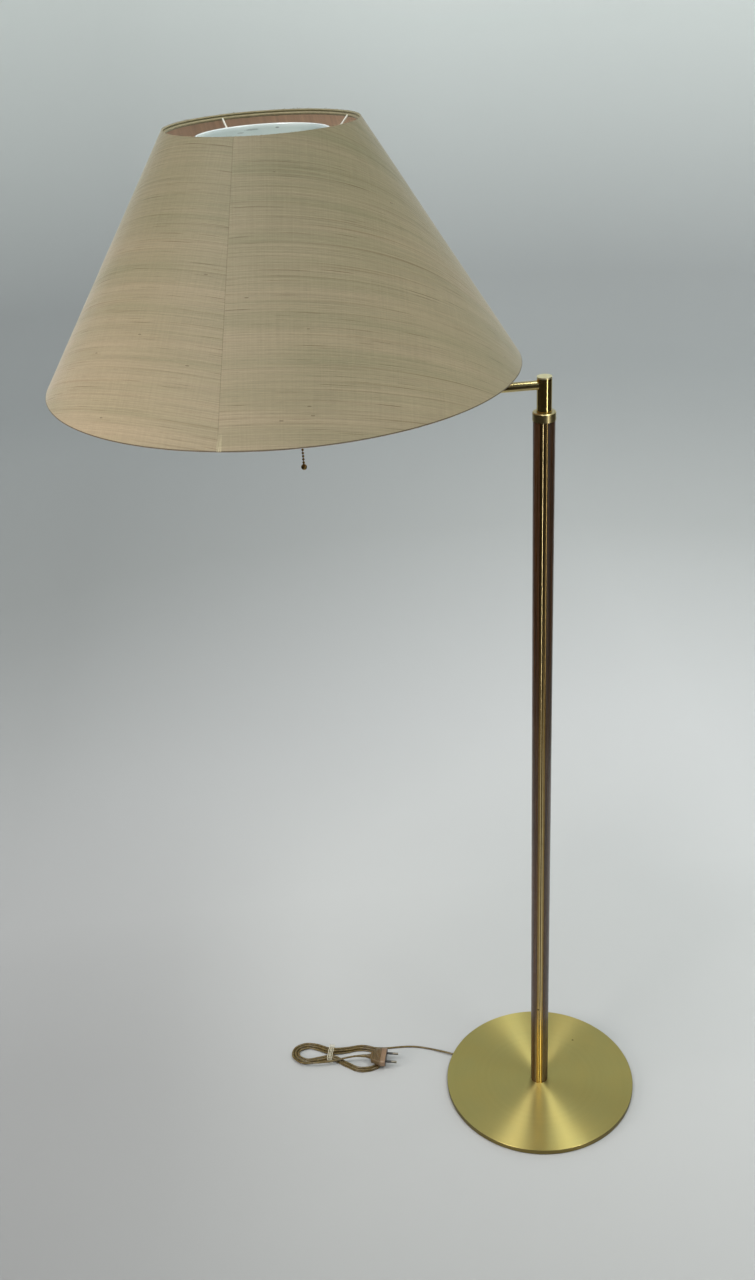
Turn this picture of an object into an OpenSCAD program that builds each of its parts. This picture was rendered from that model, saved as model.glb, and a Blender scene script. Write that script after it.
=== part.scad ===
// Bridge floor lamp: round brass foot, wooden column with a brass strip, a swivelling
// arm, and a conical fabric shade over a white glass bowl.
// The origin is the centre of the foot's underside. +Z is up, and the arm points to -X.

/* [Foot] */
// Diameter of the round foot
base_d = 310; // [280:5:340]
// Height of the foot above the floor
base_h = 9.4; // [8:0.2:12]
// Thickness of the brass cover's sheet
cover_t = 0.8; // [0.6:0.1:1.2]
// Thickness of the felt under the foot
pad_t = 1.5; // [1:0.5:2]

/* [Column] */
// Diameter of the wooden column
column_d = 28; // [25:0.5:30]
// Height of the top of the wood
column_top = 1154; // [1100:2:1200]
// Width of the brass strip let into the front of the column
strip_w = 10; // [8:0.2:11]
// Height of the small screw in the strip
strip_screw_z = 176; // [100:2:300]

/* [Swivel] */
// Diameter of the brass collar at the top of the column
collar_d = 29.5; // [28:0.5:32]
// Height of the collar
collar_h = 11; // [9:0.5:14]
// Diameter of the turning post
post_d = 19; // [18:0.5:20]
// Height of the post above the collar
post_rise = 44; // [38:1:60]

/* [Arm] */
// Diameter of the arm's tube
arm_d = 11.6; // [10:0.2:12]
// Distance from the column's axis to the shade's axis
arm_reach = 314; // [300:2:340]

/* [Shade] */
// Diameter of the shade's lower edge
shade_bottom_d = 563; // [540:1:580]
// Diameter of the shade's upper edge
shade_top_d = 217; // [210:1:230]
// Height of the shade
shade_h = 272; // [260:2:290]
// Thickness of the outer silk and its backing
skin_t = 1.2; // [1:0.1:1.5]
// Thickness of the inner lining
lining_t = 0.6; // [0.5:0.1:0.8]

/* [Bowl] */
// Diameter of the bowl's rim
bowl_d = 150; // [140:2:156]
// Thickness of the bowl's wall
bowl_t = 3; // [2.5:0.5:4]
// How far the bowl's rim lies below the shade's upper edge
bowl_drop = 10; // [8:1:16]

/* [Pull chain] */
// Diameter of one bead
bead_d = 3.2; // [2.4:0.2:3.2]
// Distance from bead to bead
bead_pitch = 4; // [3.8:0.1:4.4]
// Diameter of the ball at the end
chain_ball_d = 7.4; // [6:0.2:9]

/* [Cord] */
// Diameter of the mains cord
cord_d = 3.2; // [3:0.1:3.2]
// Diameter of the string round the hank
tie_d = 1.3; // [1:0.1:1.4]

/* [Hidden] */
$fn = 64;
eps = 0.01;

// Foot
base_r = base_d / 2;
pad_r = base_r - 5;
weight_r = base_r - 1.1;
weight_top = base_h - cover_t;
rim_bottom = 1.2;
rim_chamfer = 0.4;
wire_r = cord_d / 2;
wire_bore_r = 3.6;
felt_cut = 1;
cord_turn = 150;
cord_z = 3.8;
groove_w = 5.2;
groove_top = 6.1;
notch_w = 7;
notch_top = 6.9;
bush_in = 132;
bush_out = base_r + 2;
bush_gap = 0.05;
bush_r = 2.3;
bush_flange_r = 2.6;
bush_nose_r = 2.1;
foot_screw_n = 3;
foot_screw_ring_r = 7.6;
foot_screw_r = 1.5;
foot_screw_head_r = 2.8;
foot_screw_head_h = 1.4;
foot_screw_bottom = 2;
foot_screw_top = 14.5;
screw_gap = 0.1;

// Column
column_r = column_d / 2;
spigot_r = 11;
spigot_top = 28;
spigot_gap = 0.1;
tie_r = 5;
tie_start = 12;
tie_end = 1093;
wood_bore_r = 5.3;
head_bore_r = 11.2;
head_floor = column_top - 70;
strip_turn = -11;
strip_floor = 1.9;
strip_rib_r = 3.4;
strip_rib_x = strip_w / 4;
strip_crest = 0.05;
strip_seat = 0.6;
strip_screw_r = 0.8;
strip_screw_head_r = 1.4;
strip_screw_depth = 6;
strip_screw_rise = 0.1;
washer_t = 1.5;
washer_r = 10;
nut_h = 5;
nut_r = 9.2;

// Swivel
post_r = post_d / 2;
post_bore_r = 7;
run_gap = 0.05;
sleeve_bottom = head_floor + 12;
sleeve_flange_t = 3;
sleeve_top = column_top + 6;
sleeve_hole_r = 4.6;
collar_r = collar_d / 2;
collar_top = column_top + collar_h;
collar_lip_gap = 0.3;
collar_step = 6.3;
collar_chamfer = 1;
post_bottom = sleeve_bottom + sleeve_flange_t + 0.2;
post_top = collar_top + post_rise;
cap_t = 2;
cap_plug_h = 3.5;

// Arm
arm_r = arm_d / 2;
arm_bore_r = 4.3;
arm_z = post_top - 10.5;
arm_end_inset = 5.6;
wire_room = 2;
block_bottom = arm_z - 12.5;
block_top = arm_z + 17.5;
block_chamfer = 1;
riser_r = 5;
riser_top = 1352;
lock_nut_h = 5;
lock_nut_r = 8.1;

// Lampholder, from the bottom up
cup_bottom = 1346;
cup_top = 1372;
cup_r = 19;
cup_wall = 1.2;
switch_top = 1384;
switch_r = 17.5;
switch_foot_r = 11;
shell_top = 1424;
shell_r = 19.5;
shell_wall = 1.3;
shell_lip_r = 16.4;
core_r = 17.9;
core_top = 1421;
core_bore_r = 14;
thread_shell_t = 0.4;
thread_shell_top = 1414;
core_floor = 1387;
contact_r = 4;
ring_out_r = 25;
ring_t = 4;
lower_ring_z = 1408;
fitter_r = 28.4;
fitter_t = 2;
fitter_z = lower_ring_z + ring_t;
bowl_base_z = fitter_z + fitter_t;
upper_ring_z = bowl_base_z + bowl_t;
ring_flutes = 24;
bulb_bottom = 1388.4;
bulb_cap_r = 13.3;
bulb_cap_h = 26;
bulb_r = 29;
bulb_h = 102;
bulb_neck_r = 11.5;

// Shade
shade_z = 1244;
shade_top_z = shade_z + shade_h;
shade_r0 = shade_bottom_d / 2;
shade_r1 = shade_top_d / 2;
shade_slope = (shade_r0 - shade_r1) / shade_h;
shade_tilt = atan(shade_slope);
hoop_r = 1.5;
hoop_inset = 4.5;
spider_n = 4;
spider_turn = 24;
spider_wire_r = 1.2;
spider_foot_z = -0.4;
spider_low = [50, -1];
spider_high = [86, 78.5];

// Bowl
bowl_r = bowl_d / 2;
bowl_rim_z = shade_top_z - bowl_drop;
bowl_neck_r = shell_r + 0.3;
bowl_steps = 14;
bowl_rim_bead = 0.8;

// Pull chain
bead_r = bead_d / 2;
chain_at = [12, -20];
chain_ball_z = 1128;
chain_ball_r = chain_ball_d / 2;
chain_ball_gap = 5.8;
hang_n = 55;
hang_first = chain_ball_z + chain_ball_gap;
hang_last = hang_first + (hang_n - 1) * bead_pitch;
mouth_z = hang_last + 2.2;
guide_bore_r = 2.1;
guide_r = 3.2;
guide_h = 14;
guide_arm_r = 2.6;
guide_arm_z = mouth_z + 8;
top_bead_n = 3;
bead_waist = 70;

// Free cord: points of the run from the foot to the hank, chosen along its way
lead_points = [
    [-135.97, 78.5, 3.8], [-142.9, 82.5, 3.8], [-150, 86.6, 3.7], [-158, 91.2, 3.1],
    [-166, 95.6, 2.2], [-174, 99.6, 1.7], [-183, 103.4, 1.6], [-192, 106.5, 1.6],
    [-202, 109, 1.6], [-212, 110.6, 1.6], [-222, 111.4, 1.6], [-232, 111.8, 1.6],
    [-242, 112, 1.6], [-252, 112.6, 1.6]
];
lead_sides = 8;
lead_steps = 3;

// Hank: its middle, its direction, and its outer loop in its own u and v
hank_at = [-333, 106];
hank_turn = -13.5;
hank_half = 82;
waist_u = -14;
waist_half = 13.4;
waist_reach = 30;
waist_step = 4.8;
left_lobe = 16;
left_lobe_u = 44;
right_lobe = 22;
right_lobe_u = 64;
right_lobe_drop = 4;
blunt = 0.07;
loop_step = 5;
layer_step = 3.8;
start_angle = 54;
end_angle = 225;
full_loops = 4;
loop_rings = 24;
hank_sides = 6;
tie_lift = 2.1;
tail_rings = 12;
tail_pull = 36;
tail_top = 9.4;
tail_climb_at = 0.45;
skip_points = 3;

// String round the hank's waist
tie_turns = 4;
tie_pitch = 1.9;
tie_half_w = 18.2;
tie_low = 0.65;
tie_high = 13.4;
tie_mid_z = (tie_low + tie_high) / 2;
tie_half_h = (tie_high - tie_low) / 2;

// Plug, which lies on the hank with its pins away from it
plug_rear = [-285.5, 86.5];
plug_turn = -13.5;
plug_z = 14.2;
plug_body_l = 27;
plug_nub_l = 8;
plug_nub_r0 = 3;
plug_nub_r1 = 4.6;
plug_front_w = 35;
plug_rear_w = 24;
plug_t = 13.6;
plug_chamfer = 1.5;
pin_r = 2;
pin_core_r = 1.5;
pin_gap = 19;
pin_l = 19;
sleeve_l = 10;
pin_root = 8;

// ---------- shared shapes ----------

// Ring or tube standing on z0
module tube(r_out, r_in, z0, z1) {
    translate([0, 0, z0])
        difference() {
            cylinder(h = z1 - z0, r = r_out);
            translate([0, 0, -1])
                cylinder(h = z1 - z0 + 2, r = r_in);
        }
}

// Moves its children from the column's axis to the shade's axis
module at_shade() {
    translate([-arm_reach, 0, 0])
        children();
}

// Hexagonal nut on z0
module hex_nut(r_corner, r_hole, z0, h) {
    translate([0, 0, z0])
        difference() {
            cylinder(h = h, r = r_corner, $fn = 6);
            translate([0, 0, -1])
                cylinder(h = h + 2, r = r_hole);
        }
}

// Smooth step from 0 to 1
function smooth(x) = let (c = min(1, max(0, x))) c * c * (3 - 2 * c);

function unit(v) = v / norm(v);

// Direction of a route at one of its points
function route_way(p, i) =
    unit(p[min(i + 1, len(p) - 1)] - p[max(i - 1, 0)]);

// Point of a smooth curve through four neighbours
function spline(a, b, c, d, t) =
    0.5 * (2 * b + (c - a) * t + (2 * a - 5 * b + 4 * c - d) * t * t
        + (3 * b - a - 3 * c + d) * t * t * t);

// Route with extra points between its own
function fine_route(p, steps) = concat(
    [for (i = [0 : len(p) - 2], k = [0 : steps - 1])
        spline(p[max(i - 1, 0)], p[i], p[i + 1], p[min(i + 2, len(p) - 1)], k / steps)],
    [p[len(p) - 1]]
);

// Round tube swept along a route as one closed body, its rings set out from a side direction
module sweep(p, r, sides, side_from = [0, 0, 1]) {
    n = len(p);
    rings = [for (i = [0 : n - 1])
        let (
            way = route_way(p, i),
            side = unit(cross(side_from, way)),
            up = cross(way, side)
        )
        for (k = [0 : sides - 1])
            let (a = 360 * (k + 0.5) / sides)
            p[i] + r * (cos(a) * side + sin(a) * up)
    ];
    walls = [for (i = [0 : n - 2], k = [0 : sides - 1])
        let (
            a = i * sides + k,
            b = i * sides + (k + 1) % sides
        )
        each [[a, a + sides, b], [b, a + sides, b + sides]]
    ];
    first = [for (k = [1 : sides - 2]) [0, k, k + 1]];
    last_ring = (n - 1) * sides;
    last = [for (k = [1 : sides - 2]) [last_ring, last_ring + k + 1, last_ring + k]];
    polyhedron(rings, concat(walls, first, last), convexity = 10);
}

// ---------- foot ----------

module cord_groove(w, z0, z1) {
    rotate([0, 0, cord_turn])
        translate([0, -w / 2, z0])
            cube([base_r + 5, w, z1 - z0]);
}

module at_foot_screws() {
    for (i = [0 : foot_screw_n - 1])
        rotate([0, 0, 90 + i * 360 / foot_screw_n])
            translate([foot_screw_ring_r, 0, 0])
                children();
}

module base_pad() {
    color("#2b2622")
        cylinder(h = pad_t, r = pad_r);
}

module base_weight() {
    color("#3a3a3c")
        difference() {
            tube(weight_r, wire_bore_r, pad_t, weight_top);
            cord_groove(groove_w, pad_t - felt_cut, groove_top);
            at_foot_screws() {
                cylinder(h = weight_top + 1, r = foot_screw_r + screw_gap);
                translate([0, 0, foot_screw_bottom - 1])
                    cylinder(h = 1 + eps, r = foot_screw_head_r + screw_gap);
                translate([0, 0, foot_screw_bottom])
                    cylinder(
                        h = foot_screw_head_h,
                        r1 = foot_screw_head_r + screw_gap,
                        r2 = foot_screw_r + screw_gap
                    );
            }
        }
}

module base_cover() {
    color("#c2ab5c")
        difference() {
            rotate_extrude()
                polygon([
                    [spigot_r + 0.3, weight_top],
                    [base_r - cover_t, weight_top],
                    [base_r - cover_t, rim_bottom],
                    [base_r, rim_bottom],
                    [base_r, base_h - rim_chamfer],
                    [base_r - rim_chamfer, base_h],
                    [spigot_r + 0.3, base_h]
                ]);
            rotate([0, 0, cord_turn])
                translate([base_r - 3, -notch_w / 2, 0])
                    cube([5, notch_w, notch_top]);
        }
}

module base_screws() {
    color("#8c8c8c")
        at_foot_screws() {
            translate([0, 0, foot_screw_bottom])
                cylinder(h = foot_screw_head_h, r1 = foot_screw_head_r, r2 = foot_screw_r);
            translate([0, 0, foot_screw_bottom + foot_screw_head_h - eps])
                cylinder(
                    h = foot_screw_top - foot_screw_bottom - foot_screw_head_h,
                    r = foot_screw_r
                );
        }
}

// Rubber bush that brings the cord out of the foot's edge
module cord_bush() {
    color("#4a3a22")
        rotate([0, 0, cord_turn])
            translate([bush_in, 0, cord_z])
                rotate([0, 90, 0])
                    rotate_extrude()
                        polygon([
                            [wire_r + bush_gap, 0],
                            [bush_r, 0],
                            [bush_r, base_r - bush_in],
                            [bush_flange_r, base_r - bush_in],
                            [bush_flange_r, base_r - bush_in + 0.8],
                            [bush_nose_r, bush_out - bush_in],
                            [wire_r + bush_gap, bush_out - bush_in]
                        ]);
}

// ---------- column ----------

module column_spigot() {
    color("#8c8c8c")
        difference() {
            translate([0, 0, weight_top])
                cylinder(h = spigot_top - weight_top, r = spigot_r);
            translate([0, 0, tie_start])
                cylinder(h = spigot_top, r = tie_r);
            cylinder(h = spigot_top, r = wire_bore_r);
            at_foot_screws()
                cylinder(h = foot_screw_top + 1, r = foot_screw_r);
        }
}

module tie_tube() {
    color("#9a9a9a")
        tube(tie_r, wire_bore_r, tie_start, tie_end);
}

module column_wood() {
    color("#3d2a1c")
        difference() {
            tube(column_r, wood_bore_r, base_h, column_top);
            translate([0, 0, base_h - 1])
                cylinder(h = spigot_top - base_h + 1, r = spigot_r + spigot_gap);
            translate([0, 0, head_floor])
                cylinder(h = column_top, r = head_bore_r);
            rotate([0, 0, strip_turn]) {
                translate([-strip_w / 2, -column_r - 1, 0])
                    cube([strip_w, strip_floor + 1, column_top + 1]);
                at_strip_screw(-1)
                    cylinder(h = strip_screw_depth + 1, r = strip_screw_r);
            }
        }
}

// Level axis of the strip's screw, from a depth inside the column's face
module at_strip_screw(depth) {
    translate([-strip_rib_x, depth - column_r, strip_screw_z])
        rotate([-90, 0, 0])
            children();
}

// Drawn brass strip whose face is two low round ribs, side by side
module column_strip() {
    color("#b8964a")
        rotate([0, 0, strip_turn])
            difference() {
                translate([0, 0, base_h])
                    intersection() {
                        translate([-strip_w / 2, -column_r, 0])
                            cube([strip_w, strip_floor, column_top - base_h]);
                        union()
                            for (side = [-1, 1])
                                translate([side * strip_rib_x, strip_crest + strip_rib_r - column_r, 0])
                                    cylinder(h = column_top - base_h, r = strip_rib_r);
                    }
                at_strip_screw(-1)
                    cylinder(h = strip_screw_depth, r = strip_screw_r);
                at_strip_screw(-1)
                    cylinder(h = 1 + strip_seat, r = strip_screw_head_r + screw_gap);
            }
}

module strip_screw() {
    color("#4a3c20")
        rotate([0, 0, strip_turn])
            at_strip_screw(0)
                union() {
                    translate([0, 0, -strip_screw_rise])
                        cylinder(h = strip_seat + strip_screw_rise, r = strip_screw_head_r);
                    cylinder(h = strip_screw_depth - 0.1, r = strip_screw_r);
                }
}

module top_washer() {
    color("#9a9a9a")
        tube(washer_r, tie_r + 0.1, head_floor, head_floor + washer_t);
}

module top_nut() {
    color("#9a9a9a")
        hex_nut(nut_r, tie_r, head_floor + washer_t, nut_h);
}

module column_wire() {
    color("#7a6a45") {
        rotate([0, 0, cord_turn])
            translate([0, 0, cord_z])
                rotate([0, 90, 0])
                    cylinder(h = bush_out, r = wire_r);
        translate([0, 0, cord_z])
            sphere(r = wire_r);
        translate([0, 0, cord_z])
            cylinder(h = tie_end - cord_z, r = wire_r);
    }
}

// ---------- swivel ----------

module swivel_sleeve() {
    flange_top = sleeve_bottom + sleeve_flange_t;
    color("#e4e0d0")
        union() {
            tube(head_bore_r, post_r + run_gap, flange_top - eps, sleeve_top);
            tube(head_bore_r, sleeve_hole_r, sleeve_bottom, flange_top);
        }
}

module collar() {
    color("#b8964a")
        rotate_extrude()
            polygon([
                [head_bore_r + 0.05, column_top],
                [collar_r, column_top],
                [collar_r, collar_top - collar_chamfer],
                [collar_r - collar_chamfer, collar_top],
                [post_r + collar_lip_gap, collar_top],
                [post_r + collar_lip_gap, column_top + collar_step],
                [head_bore_r + 0.05, column_top + collar_step]
            ]);
}

module swivel_post() {
    color("#b8964a")
        difference() {
            tube(post_r, post_bore_r, post_bottom, post_top - cap_t);
            translate([0, 0, arm_z])
                rotate([0, -90, 0])
                    cylinder(h = post_d, r = arm_r);
        }
}

module post_cap() {
    color("#d0b460")
        union() {
            translate([0, 0, post_top - cap_t])
                cylinder(h = cap_t, r = post_r);
            translate([0, 0, post_top - cap_t - cap_plug_h])
                cylinder(h = cap_plug_h + eps, r = post_bore_r);
        }
}

// ---------- arm ----------

module arm_tube() {
    color("#b8964a")
        translate([-post_bore_r, 0, arm_z])
            rotate([0, -90, 0])
                tube(arm_r, arm_bore_r, 0, arm_reach - post_bore_r - arm_end_inset);
}

module end_block() {
    color("#b8964a")
        at_shade()
            difference() {
                rotate_extrude()
                    polygon([
                        [0, block_bottom],
                        [post_r - block_chamfer, block_bottom],
                        [post_r, block_bottom + block_chamfer],
                        [post_r, block_top - block_chamfer],
                        [post_r - block_chamfer, block_top],
                        [0, block_top]
                    ]);
                translate([0, 0, arm_z])
                    rotate([0, 90, 0])
                        cylinder(h = post_d, r = arm_r);
                translate([0, 0, arm_z - wire_room])
                    cylinder(h = block_top, r = wire_bore_r);
                translate([0, 0, arm_z + arm_r + 0.3])
                    cylinder(h = block_top, r = riser_r);
            }
}

module riser_tube() {
    color("#b8964a")
        at_shade()
            tube(riser_r, wire_bore_r, arm_z + arm_r + 0.3, riser_top);
}

module lock_nut() {
    color("#b8964a")
        at_shade()
            hex_nut(lock_nut_r, riser_r, cup_bottom - lock_nut_h, lock_nut_h);
}

module arm_wire() {
    color("#7a6a45") {
        translate([0, 0, sleeve_bottom])
            cylinder(h = arm_z - sleeve_bottom, r = wire_r);
        translate([0, 0, arm_z])
            sphere(r = wire_r);
        translate([0, 0, arm_z])
            rotate([0, -90, 0])
                cylinder(h = arm_reach, r = wire_r);
        translate([-arm_reach, 0, arm_z])
            sphere(r = wire_r);
        translate([-arm_reach, 0, arm_z])
            cylinder(h = riser_top - arm_z, r = wire_r);
    }
}

// ---------- lampholder ----------

module holder_cup() {
    color("#b8964a")
        at_shade()
            difference() {
                rotate_extrude()
                    polygon([
                        [riser_r, cup_bottom],
                        [cup_r - 7, cup_bottom],
                        [cup_r - 2, cup_bottom + 3],
                        [cup_r, cup_bottom + 8],
                        [cup_r, cup_top],
                        [cup_r - cup_wall, cup_top],
                        [cup_r - cup_wall, cup_bottom + 8.4],
                        [cup_r - 3, cup_bottom + 4.2],
                        [cup_r - 7.5, cup_bottom + cup_wall],
                        [riser_r, cup_bottom + cup_wall]
                    ]);
                guide_way(guide_arm_r, cup_r + 5);
            }
}

// Level bore or tube from the shade's axis towards the chain
module guide_way(r, l) {
    rotate([0, 0, atan2(chain_at[1], chain_at[0])])
        translate([0, 0, guide_arm_z])
            rotate([0, 90, 0])
                cylinder(h = l, r = r);
}

module switch_body() {
    color("#1f1c1a")
        at_shade()
            difference() {
                union() {
                    translate([0, 0, riser_top])
                        cylinder(h = 3, r = switch_foot_r);
                    translate([0, 0, riser_top + 3])
                        cylinder(h = switch_top - riser_top - 3, r = switch_r);
                }
                guide_way(guide_arm_r, cup_r + 5);
            }
}

// Brass horn that leads the chain out of the lampholder
module chain_guide() {
    color("#b8964a")
        at_shade()
            difference() {
                union() {
                    guide_way(guide_arm_r, norm(chain_at));
                    translate([chain_at[0], chain_at[1], mouth_z])
                        cylinder(h = guide_h, r = guide_r);
                }
                translate([chain_at[0], chain_at[1], mouth_z - 1])
                    cylinder(h = guide_h - 0.5, r = guide_bore_r);
                cylinder(h = shade_z * 2, r = switch_r - 6);
            }
}

module holder_shell() {
    color("#b8964a")
        at_shade()
            rotate_extrude()
                polygon([
                    [shell_r - shell_wall, cup_top],
                    [shell_r, cup_top],
                    [shell_r, shell_top - 0.6],
                    [shell_r - 0.6, shell_top],
                    [shell_lip_r, shell_top],
                    [shell_lip_r, core_top + 0.2],
                    [shell_r - shell_wall, core_top + 0.2]
                ]);
}

module socket_core() {
    color("#e8e4da")
        at_shade()
            difference() {
                translate([0, 0, switch_top])
                    cylinder(h = core_top - switch_top, r = core_r);
                translate([0, 0, core_floor])
                    cylinder(h = core_top, r = core_bore_r);
            }
}

module screw_shell() {
    color("#c8a860")
        at_shade()
            tube(core_bore_r, core_bore_r - thread_shell_t, core_floor, thread_shell_top);
}

module centre_contact() {
    color("#c8a860")
        at_shade()
            translate([0, 0, core_floor])
                cylinder(h = bulb_bottom - core_floor - 0.1, r = contact_r);
}

// Fluted ring nut on the lampholder
module ring_nut(z0) {
    at_shade()
        difference() {
            tube(ring_out_r, shell_r, z0, z0 + ring_t);
            for (i = [0 : ring_flutes - 1])
                rotate([0, 0, i * 360 / ring_flutes])
                    translate([ring_out_r + 0.4, 0, z0 - 1])
                        cylinder(h = ring_t + 2, r = 0.9, $fn = 16);
        }
}

module lower_ring() {
    color("#b8964a")
        ring_nut(lower_ring_z);
}

module upper_ring() {
    color("#b8964a")
        ring_nut(upper_ring_z);
}

module bulb_cap() {
    color("#c0c0c0")
        at_shade()
            translate([0, 0, bulb_bottom])
                union() {
                    cylinder(h = 3, r1 = contact_r, r2 = bulb_cap_r - 1);
                    translate([0, 0, 3 - eps])
                        cylinder(h = bulb_cap_h - 3, r = bulb_cap_r);
                }
}

module bulb_glass() {
    neck_z = bulb_bottom + bulb_cap_h;
    ball_z = bulb_bottom + bulb_h - bulb_r;
    join = asin(bulb_neck_r * 1.35 / bulb_r);
    color("#f4f2ec")
        at_shade()
            rotate_extrude()
                polygon(concat(
                    [[0, neck_z], [bulb_neck_r, neck_z], [bulb_neck_r + 0.4, neck_z + 8]],
                    [for (k = [0 : 12])
                        let (a = join - 90 + k * (180 - join) / 12)
                        [bulb_r * cos(a) * (k < 12 ? 1 : 0), ball_z + bulb_r * sin(a)]]
                ));
}

// ---------- shade and bowl ----------

// Radius of the shade's outside at a height
function shade_r(z) = shade_r0 - (z - shade_z) * shade_slope;

// Level distance across a wall of thickness t, which leans as the shade does
function across(t) = t / cos(shade_tilt);

module cone_wall(inset, t) {
    rotate_extrude()
        polygon([
            [shade_r0 - across(inset), shade_z],
            [shade_r1 - across(inset), shade_top_z],
            [shade_r1 - across(inset + t), shade_top_z],
            [shade_r0 - across(inset + t), shade_z]
        ]);
}

module shade_skin() {
    color("#b3a186")
        at_shade()
            cone_wall(0, skin_t);
}

module shade_lining() {
    color("#8f7664")
        at_shade()
            cone_wall(skin_t, lining_t);
}

function hoop_path_r(z) = shade_r(z) - across(skin_t + lining_t + hoop_r);

module hoop(z) {
    at_shade()
        rotate_extrude()
            translate([hoop_path_r(z), z])
                circle(r = hoop_r, $fn = 24);
}

module top_ring() {
    color("#d8d8d4")
        hoop(shade_top_z - hoop_inset);
}

module bottom_ring() {
    color("#d8d8d4")
        hoop(shade_z + hoop_inset);
}

module fitter_ring() {
    color("#d8d8d4")
        at_shade()
            tube(fitter_r, shell_r + 0.1, fitter_z, fitter_z + fitter_t);
}

// Bent round wire through points given as radius and height
module bent_wire(p, r) {
    for (i = [0 : len(p) - 2])
        let (run = p[i + 1] - p[i])
        translate([p[i][0], 0, p[i][1]]) {
            rotate([0, atan2(run[0], run[1]), 0])
                cylinder(h = norm(run), r = r);
            if (i > 0)
                sphere(r = r + eps);
        }
}

// Wires that pass under and round the bowl, from the lampholder to the top ring
module spider_wires() {
    level = [0, fitter_z + fitter_t / 2];
    foot = level + [fitter_r + 0.4, spider_foot_z];
    head = [hoop_path_r(shade_top_z - hoop_inset) - hoop_r * 0.6, shade_top_z - hoop_inset];
    color("#d8d8d4")
        at_shade()
            for (i = [0 : spider_n - 1])
                rotate([0, 0, spider_turn + i * 360 / spider_n])
                    bent_wire([foot, level + spider_low, level + spider_high, head], spider_wire_r);
}

// Outside of the bowl from its foot to its rim: wide and flat at first, then upright
function bowl_out(k) =
    let (
        x = k / bowl_steps,
        foot_r = bowl_neck_r + 6.5
    )
    [
        foot_r + (bowl_r - foot_r) * sin(90 * x),
        bowl_base_z + (bowl_rim_z - bowl_base_z) * (1 - pow(cos(90 * x), 1.25))
    ];

function bowl_normal(k) =
    let (
        a = bowl_out(max(0, k - 0.5)),
        b = bowl_out(min(bowl_steps, k + 0.5)),
        d = unit(b - a)
    )
    [-d[1], d[0]];

module bowl() {
    outside = [for (k = [0 : bowl_steps]) bowl_out(k)];
    inside = [for (k = [bowl_steps : -1 : 1]) bowl_out(k) + bowl_t * bowl_normal(k)];
    color("#f2f4f4")
        at_shade()
            rotate_extrude()
                polygon(concat(
                    [[bowl_neck_r, bowl_base_z]],
                    outside,
                    inside,
                    [[bowl_neck_r + 6, bowl_base_z + bowl_t], [bowl_neck_r, bowl_base_z + bowl_t]]
                ));
}

// ---------- pull chain ----------

// Beads on a wire, as one turned body from the lowest bead at z0
module beads(n, z0, bottom_link, top_link) {
    angles = [-bead_waist, -35, 0, 35, bead_waist];
    link_r = bead_r * cos(bead_waist);
    translate([-arm_reach + chain_at[0], chain_at[1], 0])
        rotate_extrude($fn = 20)
            polygon(concat(
                [[0, z0 - bottom_link], [link_r, z0 - bottom_link]],
                [for (i = [0 : n - 1], a = angles)
                    [bead_r * cos(a), z0 + i * bead_pitch + bead_r * sin(a)]],
                [
                    [link_r, z0 + (n - 1) * bead_pitch + top_link],
                    [0, z0 + (n - 1) * bead_pitch + top_link]
                ]
            ));
}

module chain_top() {
    color("#7d6f4e")
        beads(top_bead_n, hang_last + bead_pitch, 1.9, 1.8);
}

module chain_hang() {
    color("#7d6f4e")
        beads(hang_n, hang_first, chain_ball_gap - chain_ball_r + 0.3, 1.8);
}

module chain_ball() {
    color("#8a7440")
        translate([-arm_reach + chain_at[0], chain_at[1], chain_ball_z])
            difference() {
                sphere(r = chain_ball_r);
                translate([0, 0, chain_ball_r - 0.5])
                    cylinder(h = 2, r = bead_r * cos(bead_waist) + 0.05);
            }
}

// ---------- cord ----------

// From the hank's own u, v, z to the part's frame
function from_hank(p) = [
    hank_at[0] + p[0] * cos(hank_turn) - p[1] * sin(hank_turn),
    hank_at[1] + p[0] * sin(hank_turn) + p[1] * cos(hank_turn),
    p[2]
];

hank_turns = full_loops + (end_angle - start_angle) / 360;

function layer_of(turns) = smooth((turns - hank_turns / 2) * 2 + 0.5);

function lobe_of(u) = u < waist_u
    ? left_lobe * smooth((waist_u - u) / left_lobe_u)
    : right_lobe * smooth((u - waist_u) / right_lobe_u);

// 1 at the waist and 0 away from it
function near_waist(u) = 1 - smooth(abs(u - waist_u) / waist_reach);

// Centre of the cord after so many turns: in towards the hank's middle and out again
function hank_point(turns) =
    let (
        a = start_angle + 360 * turns,
        q = min(turns, hank_turns - turns),
        u = (hank_half - loop_step * q) * (cos(a) - blunt * cos(3 * a)) / (1 - blunt),
        step = loop_step + (waist_step - loop_step) * near_waist(u),
        v = sin(a) * (waist_half + lobe_of(u) - step * q)
            - right_lobe_drop * smooth((u - waist_u) / right_lobe_u),
        z = wire_r + layer_step * layer_of(turns) + tie_lift * near_waist(u)
    )
    [u, v, z];

loop_points = [for (i = [0 : floor(hank_turns * loop_rings)])
    hank_point(min(hank_turns, i / loop_rings))];

// The last run climbs over the waist and goes into the plug
tail_from = loop_points[len(loop_points) - 1];
tail_way = unit(tail_from - loop_points[len(loop_points) - 2]);
plug_in_uv = [
    (plug_rear[0] - hank_at[0]) * cos(hank_turn) + (plug_rear[1] - hank_at[1]) * sin(hank_turn),
    (plug_rear[1] - hank_at[1]) * cos(hank_turn) - (plug_rear[0] - hank_at[0]) * sin(hank_turn)
];
tail_to = [plug_in_uv[0], plug_in_uv[1], plug_z];
function bezier(a, b, c, d, t) =
    pow(1 - t, 3) * a + 3 * pow(1 - t, 2) * t * b + 3 * (1 - t) * t * t * c + pow(t, 3) * d;

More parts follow.
